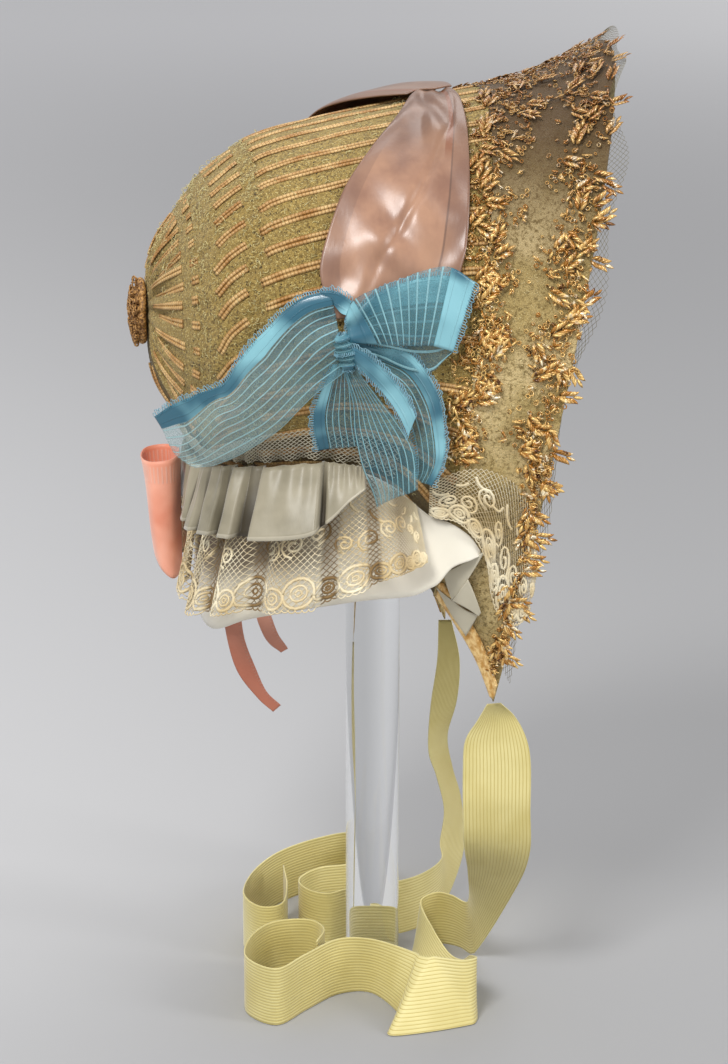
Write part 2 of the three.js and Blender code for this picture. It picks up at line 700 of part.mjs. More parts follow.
// Yellow ties. The hanging part follows the line from the post's foot to the tip of the cheek:
// each edge has its x and y off that line, shares of the tie spread, and its height, share of the
// tip's. The part on the floor stands on its edge and follows a path: x and y, shares of the tie
// spread, then how high its top edge is and how far that edge leans to the left, shares of the
// tie width.
const cheekTip = place(0.985, -0.98, 0);
const nearHanging = [
  [0.008, -0.012, 0.939, 0.068, -0.007, 0.939],
  [-0.01, -0.032, 0.888, 0.165, -0.012, 0.888],
  [-0.037, -0.065, 0.825, 0.243, -0.065, 0.825],
  [-0.007, -0.136, 0.736, 0.297, -0.127, 0.749],
  [0.044, -0.224, 0.622, 0.359, -0.233, 0.609],
  [0.112, -0.257, 0.501, 0.434, -0.283, 0.463],
  [0.226, -0.148, 0.368, 0.477, -0.206, 0.298],
];
const nearPath = [
  // x, y, high, lean
  [0.48, -0.06, 1.0, 0.1],
  [0.42, 0.06, 0.98, 0.15],
  [0.32, 0.1, 0.98, 0.1],
  [0.215, 0.04, 0.98, 0.0],
  [0.165, -0.14, 0.97, 0.0],
  [0.175, -0.36, 0.96, 0.1],
  [0.25, -0.52, 0.96, 0.1],
  [0.33, -0.6, 0.96, 0.05],
  [0.38, -0.72, 0.96, 0.0],
  [0.31, -0.83, 0.93, -0.1],
  [0.14, -0.86, 0.85, -0.12],
  [-0.03, -0.86, 0.55, -0.1],
  [-0.07, -0.79, 0.6, 0.05],
  [0.03, -0.69, 0.85, 0.15],
  [0.06, -0.56, 0.95, 0.1],
  [-0.06, -0.42, 0.97, 0.05],
  [-0.22, -0.41, 0.97, 0.0],
  [-0.39, -0.56, 0.97, 0.0],
  [-0.54, -0.7, 0.97, 0.0],
  [-0.66, -0.55, 0.97, 0.0],
  [-0.62, -0.33, 0.97, 0.0],
  [-0.5, -0.17, 0.97, 0.0],
  [-0.33, -0.16, 0.97, 0.0],
  [-0.27, -0.28, 0.97, 0.0],
  [-0.32, -0.42, 0.97, 0.0],
];
const farHanging = [
  [0.008, 0.012, 0.939, 0.068, 0.007, 0.939],
  [0.054, 0.074, 0.812, 0.164, 0.074, 0.812],
  [0.092, 0.188, 0.66, 0.221, 0.199, 0.673],
  [0.147, 0.288, 0.514, 0.253, 0.395, 0.533],
  [0.234, 0.373, 0.419, 0.35, 0.562, 0.406],
  [0.325, 0.451, 0.305, 0.453, 0.654, 0.285],
  [0.337, 0.457, 0.209, 0.524, 0.693, 0.127],
];
const farPath = [
  [0.42, 0.5, 0.97, 0.0],
  [0.3, 0.33, 0.97, 0.0],
  [0.15, 0.24, 0.97, 0.0],
  [-0.06, 0.2, 0.97, 0.0],
  [-0.2, 0.14, 0.97, 0.0],
  [-0.295, 0.22, 0.97, 0.0],
  [-0.31, 0.35, 0.97, 0.0],
  [-0.2, 0.47, 0.97, 0.0],
  [-0.05, 0.5, 0.97, 0.0],
  [0.08, 0.58, 0.97, 0.0],
  [0.13, 0.76, 0.97, 0.0],
  [0.03, 0.92, 0.97, 0.0],
  [-0.17, 0.86, 0.97, 0.0],
  [-0.38, 0.7, 0.97, 0.0],
  [-0.53, 0.46, 0.97, 0.0],
  [-0.6, 0.2, 0.97, 0.0],
  [-0.54, 0.03, 0.97, 0.0],
  [-0.43, 0.05, 0.97, 0.0],
  [-0.38, 0.28, 0.97, 0.0],
  [-0.37, 0.52, 0.97, 0.0],
];

function hangingRows(table, side) {
  const edge = (x, y, up) => [
    x * tieSpread + up * cheekTip.x,
    y * tieSpread + up * cheekTip.y * side,
    up * cheekTip.z,
  ];
  return table.map(([ax, ay, az, bx, by, bz]) => [...edge(ax, ay, az), ...edge(bx, by, bz)]);
}

// Both edges of a ribbon standing on the floor along a path
function standingRows(path) {
  return path.map(([x, y, high, lean], i) => {
    const before = path[Math.max(i - 1, 0)];
    const after = path[Math.min(i + 1, path.length - 1)];
    const way = new THREE.Vector2(after[0] - before[0], after[1] - before[1]).normalize();
    const shift = lean * tieWidth;
    const foot = [x * tieSpread, y * tieSpread];
    return [foot[0] - way.y * shift, foot[1] + way.x * shift, high * tieWidth, ...foot, floorGap];
  });
}

function ties() {
  const near = [...hangingRows(nearHanging, 1), ...standingRows(nearPath)];
  const far = [...hangingRows(farHanging, -1), ...standingRows(farPath)];
  return [
    named("tie_near", freeStrip(near, 92, 1, tieThickness), yellow, 0.6),
    named("tie_far", freeStrip(far, 78, 1, tieThickness), yellow, 0.6),
  ];
}

const group = new THREE.Group();
group.name = "poke_bonnet";
group.add(
  displayPost(),
  crown(),
  crownButton(),
  brim(),
  ...strawGarlands(),
  ...cheekBraids(),
  ...silkBands(),
  ...blueBow(),
  ...neckTrims(),
  ...cheekTrims(),
  ...napeRibbons(),
  ...ties(),
);

export default group;
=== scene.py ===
import math

import bpy
import numpy as np
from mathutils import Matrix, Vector


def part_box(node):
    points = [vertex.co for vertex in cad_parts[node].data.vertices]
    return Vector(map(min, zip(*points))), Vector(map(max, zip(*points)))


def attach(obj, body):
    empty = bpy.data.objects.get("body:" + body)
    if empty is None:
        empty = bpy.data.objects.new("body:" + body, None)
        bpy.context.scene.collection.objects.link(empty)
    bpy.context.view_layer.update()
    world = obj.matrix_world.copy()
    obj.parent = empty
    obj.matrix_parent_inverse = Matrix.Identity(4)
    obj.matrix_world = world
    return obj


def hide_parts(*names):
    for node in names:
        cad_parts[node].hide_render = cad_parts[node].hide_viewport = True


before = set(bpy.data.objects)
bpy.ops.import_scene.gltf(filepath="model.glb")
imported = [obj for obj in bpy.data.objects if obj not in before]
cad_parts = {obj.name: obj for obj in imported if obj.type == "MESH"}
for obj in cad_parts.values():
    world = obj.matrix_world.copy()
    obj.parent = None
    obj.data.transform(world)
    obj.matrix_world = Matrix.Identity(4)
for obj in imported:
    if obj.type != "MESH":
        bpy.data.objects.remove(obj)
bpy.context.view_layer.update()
mm = 0.001


# Display post: a clear acrylic rod, sawn square at the foot and domed on top, that carries the
# bonnet under its crown. It is turned and polished, so it is smooth all round.
def tint(code):
    """A web colour as the linear colour that a shader takes."""
    values = [int(code[i : i + 2], 16) / 255 for i in (1, 3, 5)]
    return [v / 12.92 if v <= 0.04045 else ((v + 0.055) / 1.055) ** 2.4 for v in values] + [1]


class Finish:
    """One procedural finish: a shader and the nodes that vary it over the surface."""

    def __init__(self, name, **sockets):
        self.material = bpy.data.materials.new(name)
        self.material.use_nodes = True
        self.tree = self.material.node_tree
        self.shader = self.tree.nodes["Principled BSDF"]
        for key, value in sockets.items():
            self.put(key.replace("_", " "), value)

    def put(self, key, value):
        socket = self.shader.inputs[key]
        if isinstance(value, bpy.types.NodeSocket):
            self.tree.links.new(value, socket)
        else:
            socket.default_value = value

    def add(self, kind, inputs, **settings):
        node = self.tree.nodes.new("ShaderNode" + kind)
        for key, value in settings.items():
            setattr(node, key, value)
        for key, value in inputs.items():
            if isinstance(value, bpy.types.NodeSocket):
                self.tree.links.new(value, node.inputs[key])
            else:
                node.inputs[key].default_value = value
        return node

    def math(self, operation, a, b=0.0):
        return self.add("Math", {0: a, 1: b}, operation=operation).outputs[0]

    def mix(self, share, first, second):
        made = self.add("Mix", {0: share, 6: first, 7: second}, data_type="RGBA")
        return made.outputs[2]

    def ramp(self, value, low, high, most=1.0):
        """0 below low and the most above high, with a smooth step between."""
        inputs = {"Value": value, "From Min": low, "From Max": high, "To Max": most}
        return self.add("MapRange", inputs, interpolation_type="SMOOTHSTEP").outputs[0]

    def band(self, value, low, high, soft, most=1.0):
        """The most between low and high and 0 outside, with a soft edge inside both."""
        rise, fall = self.ramp(value, low, low + soft, most), self.ramp(value, high, high - soft)
        return self.math("MULTIPLY", rise, fall)

    def place(self, axis, kind="Object"):
        """One coordinate of the place that is coloured, in metres on the object."""
        where = self.add("TexCoord", {}).outputs[kind]
        return self.add("SeparateXYZ", {0: where}).outputs[axis]

    def across(self):
        """Share of the way across the cloth, from one selvedge to the other."""
        return self.place(0, "UV")

    def along(self):
        """Length along the cloth, in centimetres."""
        return self.place(1, "UV")

    def noise(self, scale, detail, stretch=(1, 1, 1), rough=0.6):
        where = self.add("TexCoord", {}).outputs["Object"]
        where = self.add("Mapping", {"Vector": where, "Scale": stretch}).outputs[0]
        inputs = {"Vector": where, "Scale": scale, "Detail": detail, "Roughness": rough}
        return self.add("TexNoise", inputs).outputs[0]

    def lines(self, value, pitch, sharp=1.0):
        """Smooth stripes from 0 to 1, one for each pitch of value."""
        turn = self.math("MULTIPLY", value, 2 * math.pi / pitch)
        wave = self.math("MULTIPLY", self.math("ADD", self.math("SINE", turn), 1.0), 0.5)
        return self.math("POWER", wave, sharp)

    def bump(self, height, distance):
        inputs = {"Height": height, "Distance": distance, "Strength": 1.0}
        self.put("Normal", self.add("Bump", inputs).outputs[0])


def build(name, parts, finish):
    """One object from parts: each has points, arrays of faces, and coordinates on the cloth."""
    points, coordinates, corners, sizes = [], [], [], []
    first = 0
    for vertices, faces, *flat in parts:
        points.append(vertices)
        coordinates.append(flat[0] if flat else np.zeros((len(vertices), 2)))
        for group in faces:
            corners.append((group + first).ravel())
            sizes.append(np.full(len(group), group.shape[1]))
        first += len(vertices)
    points, coordinates = np.concatenate(points), np.concatenate(coordinates)
    corners, sizes = np.concatenate(corners), np.concatenate(sizes)
    mesh = bpy.data.meshes.new(name)
    mesh.vertices.add(len(points))
    mesh.vertices.foreach_set("co", points.ravel())
    mesh.loops.add(len(corners))
    mesh.loops.foreach_set("vertex_index", corners.astype(np.int32))
    mesh.polygons.add(len(sizes))
    starts = np.concatenate([[0], np.cumsum(sizes)[:-1]])
    mesh.polygons.foreach_set("loop_start", starts.astype(np.int32))
    mesh.update(calc_edges=True)
    mesh.validate()
    layer = mesh.uv_layers.new(name="cloth")
    layer.data.foreach_set("uv", coordinates[corners].astype(np.float32).ravel())
    mesh.polygons.foreach_set("use_smooth", np.full(len(mesh.polygons), True))
    mesh.materials.append(finish.material)
    made = bpy.data.objects.new(name, mesh)
    bpy.context.scene.collection.objects.link(made)
    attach(made, "root")
    return made


def turned(profile, sides):
    """A body turned about Z: profile is a list of radius and height, from foot to top."""
    turn = np.linspace(0, 2 * np.pi, sides, endpoint=False)
    rings = [
        np.stack([r * np.cos(turn), r * np.sin(turn), np.full(sides, z)], axis=1)
        for r, z in profile
    ]
    ring, side = np.meshgrid(np.arange(len(profile) - 1), np.arange(sides), indexing="ij")
    a, b = ring * sides + side, ring * sides + (side + 1) % sides
    walls = np.stack([a, b, b + sides, a + sides], axis=-1).reshape(-1, 4)
    foot = np.arange(sides)[::-1][None]
    top = np.arange(sides)[None] + (len(profile) - 1) * sides
    return np.concatenate(rings), [walls, foot, top]


post_low, post_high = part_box("display_post")
post_radius = (post_high[0] - post_low[0]) / 2
post_top = post_high[2]
dome_radius = 22 * mm
post_bevel = 0.5 * mm
post_sides = 128
dome = [
    (r, post_top - r * r / (2 * dome_radius))
    for r in np.linspace(post_radius - post_bevel, 0.3 * mm, 10)
]
shoulder = post_top - post_radius**2 / (2 * dome_radius) - post_bevel
post_profile = [(post_radius - post_bevel, 0), (post_radius, post_bevel), (post_radius, shoulder)]
clear = (0.97, 0.98, 0.985, 1)
acrylic = Finish("clear acrylic", Transmission_Weight=1.0, IOR=1.49, Base_Color=clear)
acrylic.put("Roughness", acrylic.math("MULTIPLY", acrylic.noise(60, 4), 0.01))
post = build("clear_post", [turned(post_profile + dome, post_sides)], acrylic)
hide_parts("display_post")

# Crown cloth: pale green-gold gauze, drawn in to the button at the back and to two hoop gathers,
# and blocked to the shape of a head. The whole bonnet is laid out from the sections below.
shell_depth = 184 * mm
shell_width = 190 * mm
top_rise = 135 * mm
cheek_drop = 194 * mm
knob_height = 318 * mm
knob_reach = 104 * mm
section_roundness = 0.9
brim_join = 0.745
# thickness of the crown, height of its cords, and the gap at which a trim lies on them
cloth_thickness = 2 * mm
rib_height = 0.45 * mm
seat = 0.4 * mm
on_crown = cloth_thickness / 2 + rib_height + seat
sections = [
    # way, reach, axis, half width, rise, drop, lean, opening, sweep
    [0.0, 0.01, 0.0, 0.0, 0.0, 0.0, 0.0, 1.0, 0.0],
    [0.04, 0.019, 0.0, 0.09, 0.126, 0.088, 0.0, 1.0, 0.0],
    [0.09, 0.049, 0.007, 0.195, 0.244, 0.18, 0.0, 1.0, 0.0],
    [0.15, 0.098, 0.015, 0.289, 0.356, 0.258, 0.0, 1.0, 0.0],
    [0.2, 0.139, 0.02, 0.347, 0.441, 0.309, 0.0, 1.0, 0.0],
    [0.25, 0.185, 0.025, 0.382, 0.504, 0.34, 0.01, 0.9, 0.0],
    [0.32, 0.261, 0.03, 0.421, 0.585, 0.376, 0.02, 0.828, 0.0],
    [0.45, 0.413, 0.037, 0.453, 0.652, 0.407, 0.04, 0.778, 0.0],
    [0.6, 0.587, 0.052, 0.468, 0.719, 0.505, 0.08, 0.756, 0.005],
    [0.72, 0.728, 0.074, 0.479, 0.778, 0.737, 0.12, 0.744, 0.016],
    [0.82, 0.837, 0.104, 0.489, 0.844, 0.82, 0.17, 0.75, 0.027],
    [0.91, 0.924, 0.126, 0.495, 0.919, 0.907, 0.18, 0.761, 0.038],
    [1.0, 1.0, 0.141, 0.5, 1.0, 1.0, 0.19, 0.772, 0.054],
]


def column(table, index, way):
    """One column of a table at any place between its rows, along a smooth curve."""
    table = np.asarray(table, dtype=float)
    at, value = table[:, 0], table[:, index]
    slope = np.empty(len(at))
    slope[1:-1] = (value[2:] - value[:-2]) / (at[2:] - at[:-2])
    slope[0] = (value[1] - value[0]) / (at[1] - at[0])
    slope[-1] = (value[-1] - value[-2]) / (at[-1] - at[-2])
    row = np.clip(np.searchsorted(at, way, side="right") - 1, 0, len(at) - 2)
    span = at[row + 1] - at[row]
    t = (way - at[row]) / span
    start = (2 * t**3 - 3 * t**2 + 1) * value[row] + (t**3 - 2 * t**2 + t) * span * slope[row]
    end = (3 * t**2 - 2 * t**3) * value[row + 1] + (t**3 - t**2) * span * slope[row + 1]
    return start + end


def unit(vectors):
    return vectors / np.maximum(np.linalg.norm(vectors, axis=-1, keepdims=True), 1e-12)


def shell_point(way, angle):
    """Point of the bonnet's middle surface, at an angle from the top of its section."""
    reach, axis, half, rise, drop, lean = [column(sections, i, way) for i in range(1, 7)]
    upward = np.sign(np.cos(angle)) * np.abs(np.cos(angle)) ** section_roundness
    sideways = np.sign(np.sin(angle)) * np.abs(np.sin(angle)) ** section_roundness
    height = upward * np.where(upward > 0, rise * top_rise, drop * cheek_drop)
    sweep = column(sections, 8, way) * shell_depth * np.abs(np.sin(angle))
    x = -knob_reach + reach * shell_depth + lean * height - sweep
    z = knob_height - axis * top_rise + height
    return np.stack(np.broadcast_arrays(x, half * shell_width * sideways, z), axis=-1)


def outward(way, turn):
    """Outward direction of the bonnet at a share of the way and of the turn."""
    angle = turn * np.pi * np.minimum(column(sections, 7, way), 1)
    step = 0.002
    along = shell_point(way + step, angle) - shell_point(np.maximum(way - step, 0.001), angle)
    around = shell_point(way, angle + step) - shell_point(way, angle - step)
    return unit(np.cross(along, around))


def on_bonnet(way, turn, height):
    """A place on the bonnet: way from knob to edge, turn from -1 over the top to +1."""
    way, turn, height = np.broadcast_arrays(way, turn, height)
    angle = turn * np.pi * np.minimum(column(sections, 7, way), 1)
    return shell_point(way, angle) + outward(way, turn) * height[..., None]


def directions(way, turn):
    """Directions at a place on the bonnet: outward, level, and square to both."""
    normal = outward(way, turn)
    level = unit(np.cross(normal, np.array([0, 0, 1.0])))
    return normal, level, np.cross(normal, level)


def grid_of(surface, rows, columns):
    """Points of a cloth given as a function of its length and width shares."""
    along, across = np.meshgrid(np.linspace(0, 1, rows), np.linspace(0, 1, columns), indexing="ij")
    return surface(along, across)


def square_to(grid):
    return unit(np.cross(np.gradient(grid, axis=0), np.gradient(grid, axis=1)))


def cloth(grid, thickness, span=(0, 1)):
    """A closed thin body round a grid of points; span is the share of the width it shows."""
    rows, columns, _ = grid.shape
    lift = square_to(grid) * thickness / 2
    points = np.concatenate([(grid + lift).reshape(-1, 3), (grid - lift).reshape(-1, 3)])
    i, j = np.meshgrid(np.arange(rows - 1), np.arange(columns - 1), indexing="ij")
    a = (i * columns + j).ravel()
    upper = np.stack([a, a + columns, a + columns + 1, a + 1], axis=1)
    lower = upper[:, ::-1] + rows * columns
    down = rows * columns
    walls = []
    for edge, turn_round in (
        (np.arange(columns), False),
        (np.arange(columns) + (rows - 1) * columns, True),
        (np.arange(rows) * columns, True),
        (np.arange(rows) * columns + columns - 1, False),
    ):
        wall = np.stack([edge[:-1], edge[1:], edge[1:] + down, edge[:-1] + down], axis=1)
        walls.append(wall[:, ::-1] if turn_round else wall)
    length = np.linalg.norm(np.gradient(grid, axis=0), axis=-1).mean(axis=1)
    flat = np.stack(
        np.broadcast_arrays(np.linspace(*span, columns)[None], 100 * np.cumsum(length)[:, None]),
        axis=-1,
    ).reshape(-1, 2)
    return points, [upper, lower, *walls], np.concatenate([flat, flat])


def outline_of(grid):
    """Width and length of the smallest rectangle round a small, nearly flat piece."""
    points = grid.reshape(-1, 3) - grid.reshape(-1, 3).mean(axis=0)
    laid_flat = points @ np.linalg.svd(points, full_matrices=False)[2][:2].T
    sizes = []
    for angle in np.radians(np.arange(91)):
        cos, sin = np.cos(angle), np.sin(angle)
        sizes.append(np.ptp(laid_flat @ np.array([[cos, -sin], [sin, cos]]), axis=0))
    return sorted(min(sizes, key=np.prod))


def declare(grid, width=None, outline=None):
    """Works out what a cloth was cut to: the longest length and width along it as it is shaped
    here, and its own area, and then keeps none of them. A ribbon of a known width is a plain
    rectangle. The outline is not used."""
    length = np.linalg.norm(np.diff(grid, axis=0), axis=-1).sum(axis=0).max()
    across = np.linalg.norm(np.diff(grid, axis=1), axis=-1).sum(axis=1).max()
    a = grid[1:, 1:] - grid[:-1, :-1]
    b = grid[1:, :-1] - grid[:-1, 1:]
    area = np.linalg.norm(np.cross(a, b), axis=-1).sum() / 2
    area = None if width else float(area)


gather_ways = (0.18, 0.295)
gather_depth = 0.7 * mm
pucker_height = 0.45 * mm
crown_start = 0.004
pleat_count = 23
pleat_depth = 1.5 * mm


def crown_relief(way, turn):
    """Hollows at the hoop gathers, puckers that run out of them, and a soft unevenness."""
    height = 0.25 * mm * np.sin(turn * 41 + way * 9) * np.sin(way * 37 + turn * 5)
    for at in gather_ways:
        near = np.exp(-(((way - at) / 0.018) ** 2))
        wide = np.exp(-(((way - at) / 0.05) ** 2))
        height = height - gather_depth * near
        height = height + pucker_height * wide * np.sin(turn * 36 * np.pi + 3 * np.sin(turn * 11))
    past_button = np.minimum(1, way / 0.05)
    drawn_in = np.exp(-(((way - 0.07) / 0.045) ** 2)) * past_button
    pleats = np.sin(turn * pleat_count * np.pi + 2 * np.sin(turn * 7))
    return (height + pleat_depth * drawn_in * pleats) * past_button


def crown_surface(along, across):
    way = crown_start + (brim_join + 0.002 - crown_start) * along
    turn = 2 * across - 1
    return on_bonnet(way, turn, crown_relief(way, turn))


gauze = Finish("green gold gauze", Sheen_Weight=0.12, Sheen_Roughness=0.5)
fuzz = gauze.noise(700, 6, rough=0.8)
patch = gauze.noise(38, 3)
weave = gauze.noise(1500, 2)
base = gauze.mix(gauze.ramp(fuzz, 0.36, 0.62), tint("#67511f"), tint("#b89b52"))
base = gauze.mix(gauze.ramp(patch, 0.42, 0.68, 0.6), base, tint("#9c8243"))
base = gauze.mix(gauze.ramp(weave, 0.58, 0.68), base, tint("#dfcd8a"))
holes = gauze.ramp(gauze.noise(820, 2), 0.62, 0.68)
base = gauze.mix(holes, base, tint("#40300f"))
from_ridge = gauze.math("ABSOLUTE", gauze.math("SUBTRACT", gauze.across(), 0.5))
# painted shade: the crown is coloured dark olive-brown along its lower edges, under the net band
# and the trims
shade_under_net = gauze.ramp(from_ridge, 0.395, 0.402, 0.8)
base = gauze.mix(shade_under_net, base, tint("#4d4028"))
gauze.put("Base Color", base)
gauze.put("Roughness", 0.9)
gauze.bump(gauze.math("ADD", fuzz, weave), 0.8 * mm)
crown_grid = grid_of(crown_surface, 80, 200)
crown = build("crown_gauze", [cloth(crown_grid, 1.2 * mm)], gauze)
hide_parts("crown")
declare(crown_grid)


# Straw cords of the crown: pairs of narrow plaited cords, sewn lengthwise on the gauze from the
# button to the brim. They stop and start again at the gathers, a little out of line.
def strands(paths, facing, width, height, sides=6, tone=None):
    """Rounded threads along equal paths, as (thread, step, xyz), flat side to their facing."""
    count, steps, _ = paths.shape
    along = np.gradient(paths, axis=1)
    across = unit(np.cross(facing, along))
    upward = unit(np.cross(along, across))
    turn = np.linspace(0, 2 * np.pi, sides, endpoint=False)
    wide = np.broadcast_to(width, (count, steps))[..., None, None] / 2
    high = np.broadcast_to(height, (count, steps))[..., None, None] / 2
    ring = paths[:, :, None] + across[:, :, None] * np.cos(turn)[:, None] * wide
    ring = ring + upward[:, :, None] * np.sin(turn)[:, None] * high
    thread = np.arange(count)[:, None, None] * steps * sides
    step = np.arange(steps - 1)[None, :, None] * sides
    side = np.arange(sides)[None, None]
    a, b = thread + step + side, thread + step + (side + 1) % sides
    walls = np.stack([a, b, b + sides, a + sides], axis=-1).reshape(-1, 4)
    start = thread[:, 0] + np.arange(sides)[::-1]
    end = thread[:, 0] + (steps - 1) * sides + np.arange(sides)
    length = np.cumsum(np.linalg.norm(along, axis=-1), axis=1)[..., None]
    tone = (np.arange(count) * 0.61803)[:, None] % 1 if tone is None else tone
    flat = np.stack(np.broadcast_arrays(tone[..., None], 100 * length, np.zeros(sides)), axis=-1)
    return ring.reshape(-1, 3), [walls, start, end], flat[..., :2].reshape(-1, 2)


draw = np.random.default_rng(11)
cord_pairs = 36
cord_width = 2.05 * mm
cord_high = 1.0 * mm
cord_gap = 2.0 * mm
cord_lift = 0.85 * mm
# where the cords run, and how far each stretch is out of line with the one before
cord_stretches = [
    # first way, last way, shift in turns, steps
    (0.055, 0.135, 0.0, 14),
    (0.15, 0.172, 0.006, 8),
    (0.212, 0.283, -0.004, 16),
    (0.306, 0.738, 0.002, 44),
]
cord_parts = []
for first_way, last_way, shift, steps in cord_stretches:
    middle = -1 + (np.arange(cord_pairs) + 0.5) * 2 / cord_pairs + shift
    middle = middle + draw.uniform(-0.004, 0.004, cord_pairs)
    begin = first_way + draw.uniform(0, 0.012, cord_pairs)
    finish_way = last_way - draw.uniform(0, 0.004, cord_pairs)
    share = np.linspace(0, 1, steps)
    way = begin[:, None] + (finish_way - begin)[:, None] * share
    wander = 0.0035 * np.sin(way * 23 + 9 * middle[:, None]) * (way < 0.32)
    turn = middle[:, None] + wander
    centre = on_bonnet(way, turn, crown_relief(way, turn) + cord_lift)
    normal = outward(way, turn)
    beside = unit(np.cross(normal, np.gradient(centre, axis=1)))
    narrow = np.minimum(1, way / 0.12)[..., None]
    for side in (-0.5, 0.5):
        path = centre + beside * side * cord_gap * narrow
        cord_parts.append(strands(path, normal, cord_width * narrow[..., 0], cord_high, 4))
straw_cord = Finish("orange straw cord", Roughness=0.4)
plait = straw_cord.lines(straw_cord.along(), 0.16, 0.5)
worn = straw_cord.ramp(straw_cord.noise(110, 4), 0.3, 0.7)
cord_colour = straw_cord.mix(worn, tint("#a8773c"), tint("#dcb87c"))
cord_colour = straw_cord.mix(straw_cord.ramp(plait, 0.0, 0.35), tint("#80592a"), cord_colour)
straw_cord.put("Base Color", cord_colour)
straw_cord.bump(plait, 0.2 * mm)
build("crown_straw_cords", cord_parts, straw_cord)

# Thread of the gathers: pale gauze ends that stand up in little loops along the two hoops, and a
# few long ones that have worked loose over the back of the crown.
loose_groups = [
    # threads, way, spread of the way, first turn, last turn, loop size, height
    (420, 0.185, 0.016, -1.0, 1.0, 2.6, 0.8),
    (420, 0.297, 0.009, -1.0, 1.0, 2.4, 0.7),
    (150, 0.09, 0.03, -1.0, 1.0, 2.6, 0.7),
    (60, 0.2, 0.05, -0.3, 0.12, 6.0, 2.6),
    (30, 0.1, 0.015, -0.25, 0.1, 5.0, 2.4),
    (26, 0.63, 0.03, -0.06, 0.1, 5.0, 1.6),
    (620, 0.5, 0.13, -1.0, 1.0, 3.4, 0.9),
]
loose_width = 0.28 * mm
loop_steps = 11
thread_parts = []
for count, at, spread, first_turn, last_turn, size, high in loose_groups:
    way = np.clip(draw.normal(at, spread, count), 0.02, 0.73)[:, None]
    turn = draw.uniform(first_turn, last_turn, count)[:, None]
    share = np.linspace(0, 1, loop_steps)[None]
    heading = draw.uniform(0, 2 * np.pi, count)[:, None]
    bend = heading + draw.uniform(-5, 5, count)[:, None] * share
    normal, side, rise = directions(way, turn)
    drift = np.cumsum(np.cos(bend), axis=1)[..., None] * side
    drift = drift + np.cumsum(np.sin(bend), axis=1)[..., None] * rise
    lift = 0.7 + high * draw.uniform(0.2, 1, count)[:, None] * np.sin(np.pi * share)
    centre = on_bonnet(way, turn, 0.0)
    path = centre + drift * size / loop_steps * mm + normal * lift[..., None] * mm
    # every other step is enough for loops as small as these
    thread_parts.append(strands(path[:, ::2], normal, loose_width, loose_width, 3))


def mottled(name, dark, light, scale, detail, **sockets):
    """A finish that only varies between two colours."""
    made = Finish(name, **sockets)
    made.put("Base Color", made.mix(made.noise(scale, detail), tint(dark), tint(light)))
    return made


pale_thread = mottled(
    "pale gauze thread", "#b5a35c", "#e6dca2", 200, 2, Roughness=0.8, Sheen_Weight=0.3
)
build("gather_threads", thread_parts, pale_thread)

# Crown button: a rosette of brown-gold cord, coiled and knotted on itself, sewn over the point
# where the crown is drawn together.
button_back = -knob_reach + 0.01 * shell_depth - cloth_thickness / 2 - seat
button_middle = np.array([button_back, 0, knob_height])
button_coils = [
    # radius, stand off the crown, thickness, knots round it
    (12.6, 0.6, 4.8, 24),
    (8.9, 2.6, 4.4, 18),
    (5.0, 4.0, 3.8, 11),
    (1.6, 4.7, 3.4, 5),
]


def on_button(radius, turn, stand):
    shape = np.broadcast_arrays(-stand, radius * np.cos(turn), radius * np.sin(turn))
    return button_middle + np.stack(shape, axis=-1)


back = np.array([-1.0, 0, 0])
button_parts = []
for radius, stand, thick, knots in button_coils:
    turn = np.linspace(0, 2 * np.pi, 6 * knots + 1)
    knot = 0.5 + 0.5 * np.cos(turn * knots)
    wobble = radius + 0.45 * np.sin(turn * knots * 0.5) + 0.3 * np.sin(5 * turn)
    path = on_button(wobble * mm, turn, (stand + 0.5 * knot - 0.3 * np.cos(3 * turn)) * mm)
    size = thick * (0.72 + 0.28 * knot) * mm
    button_parts.append(strands(path[None], back, size[None], 0.8 * size[None], 10))
loops = 150
loop_thread = 0.7 * mm
radius = 15.0 * np.sqrt(draw.uniform(0.02, 1, loops))[:, None]
turn = draw.uniform(0, 2 * np.pi, loops)[:, None]
share = np.linspace(0, 2 * np.pi, 9)[None]
tilt = draw.uniform(0, np.pi, loops)[:, None]
loop_size = draw.uniform(0.8, 1.7, loops)[:, None]
local_radius = radius + loop_size * np.cos(share) * np.cos(tilt)
local_turn = turn + loop_size * np.cos(share) * np.sin(tilt) / np.maximum(radius, 2)
stand = 6.3 - 0.013 * radius**2 + 0.8 * np.sin(share)
path = on_button(local_radius * mm, local_turn, stand * mm)
button_parts.append(strands(path, back, loop_thread, loop_thread, 5))
cord_brown = Finish("brown gold cord", Roughness=0.55)
twist = cord_brown.noise(900, 4)
raised = cord_brown.ramp(twist, 0.35, 0.65)
cord_brown.put("Base Color", cord_brown.mix(raised, tint("#5b3716"), tint("#cf9c58")))
cord_brown.bump(twist, 0.6 * mm)
button = build("button_rosette", button_parts, cord_brown)
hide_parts("crown_button")

# Brim: the same gauze over a fine stiffening, olive and half clear, sewn to the crown and cut to
# two long cheeks. Its face is crinkled and it waves a little at the front edge.
brim_waves = 9
brim_wave_height = 0.7 * mm
brim_thickness = 1.6 * mm
brim_overlap = 0.006


def brim_wave(way, turn):
    share = np.clip((way - brim_join) / (1 - brim_join), 0, 1)
    return brim_wave_height * share * np.cos(turn * brim_waves * np.pi)


def brim_surface(along, across):
    way = brim_join - brim_overlap + (1 + brim_overlap - brim_join) * along
    turn = 2 * across - 1
    crinkle = 0.3 * mm * np.sin(57 * turn + 21 * way) * np.sin(13 * turn - 63 * way)
    over_crown = 1.3 * mm * np.clip(1 - (way - brim_join + brim_overlap) / 0.02, 0, 1)
    return on_bonnet(way, turn, brim_wave(way, turn) + crinkle + over_crown)


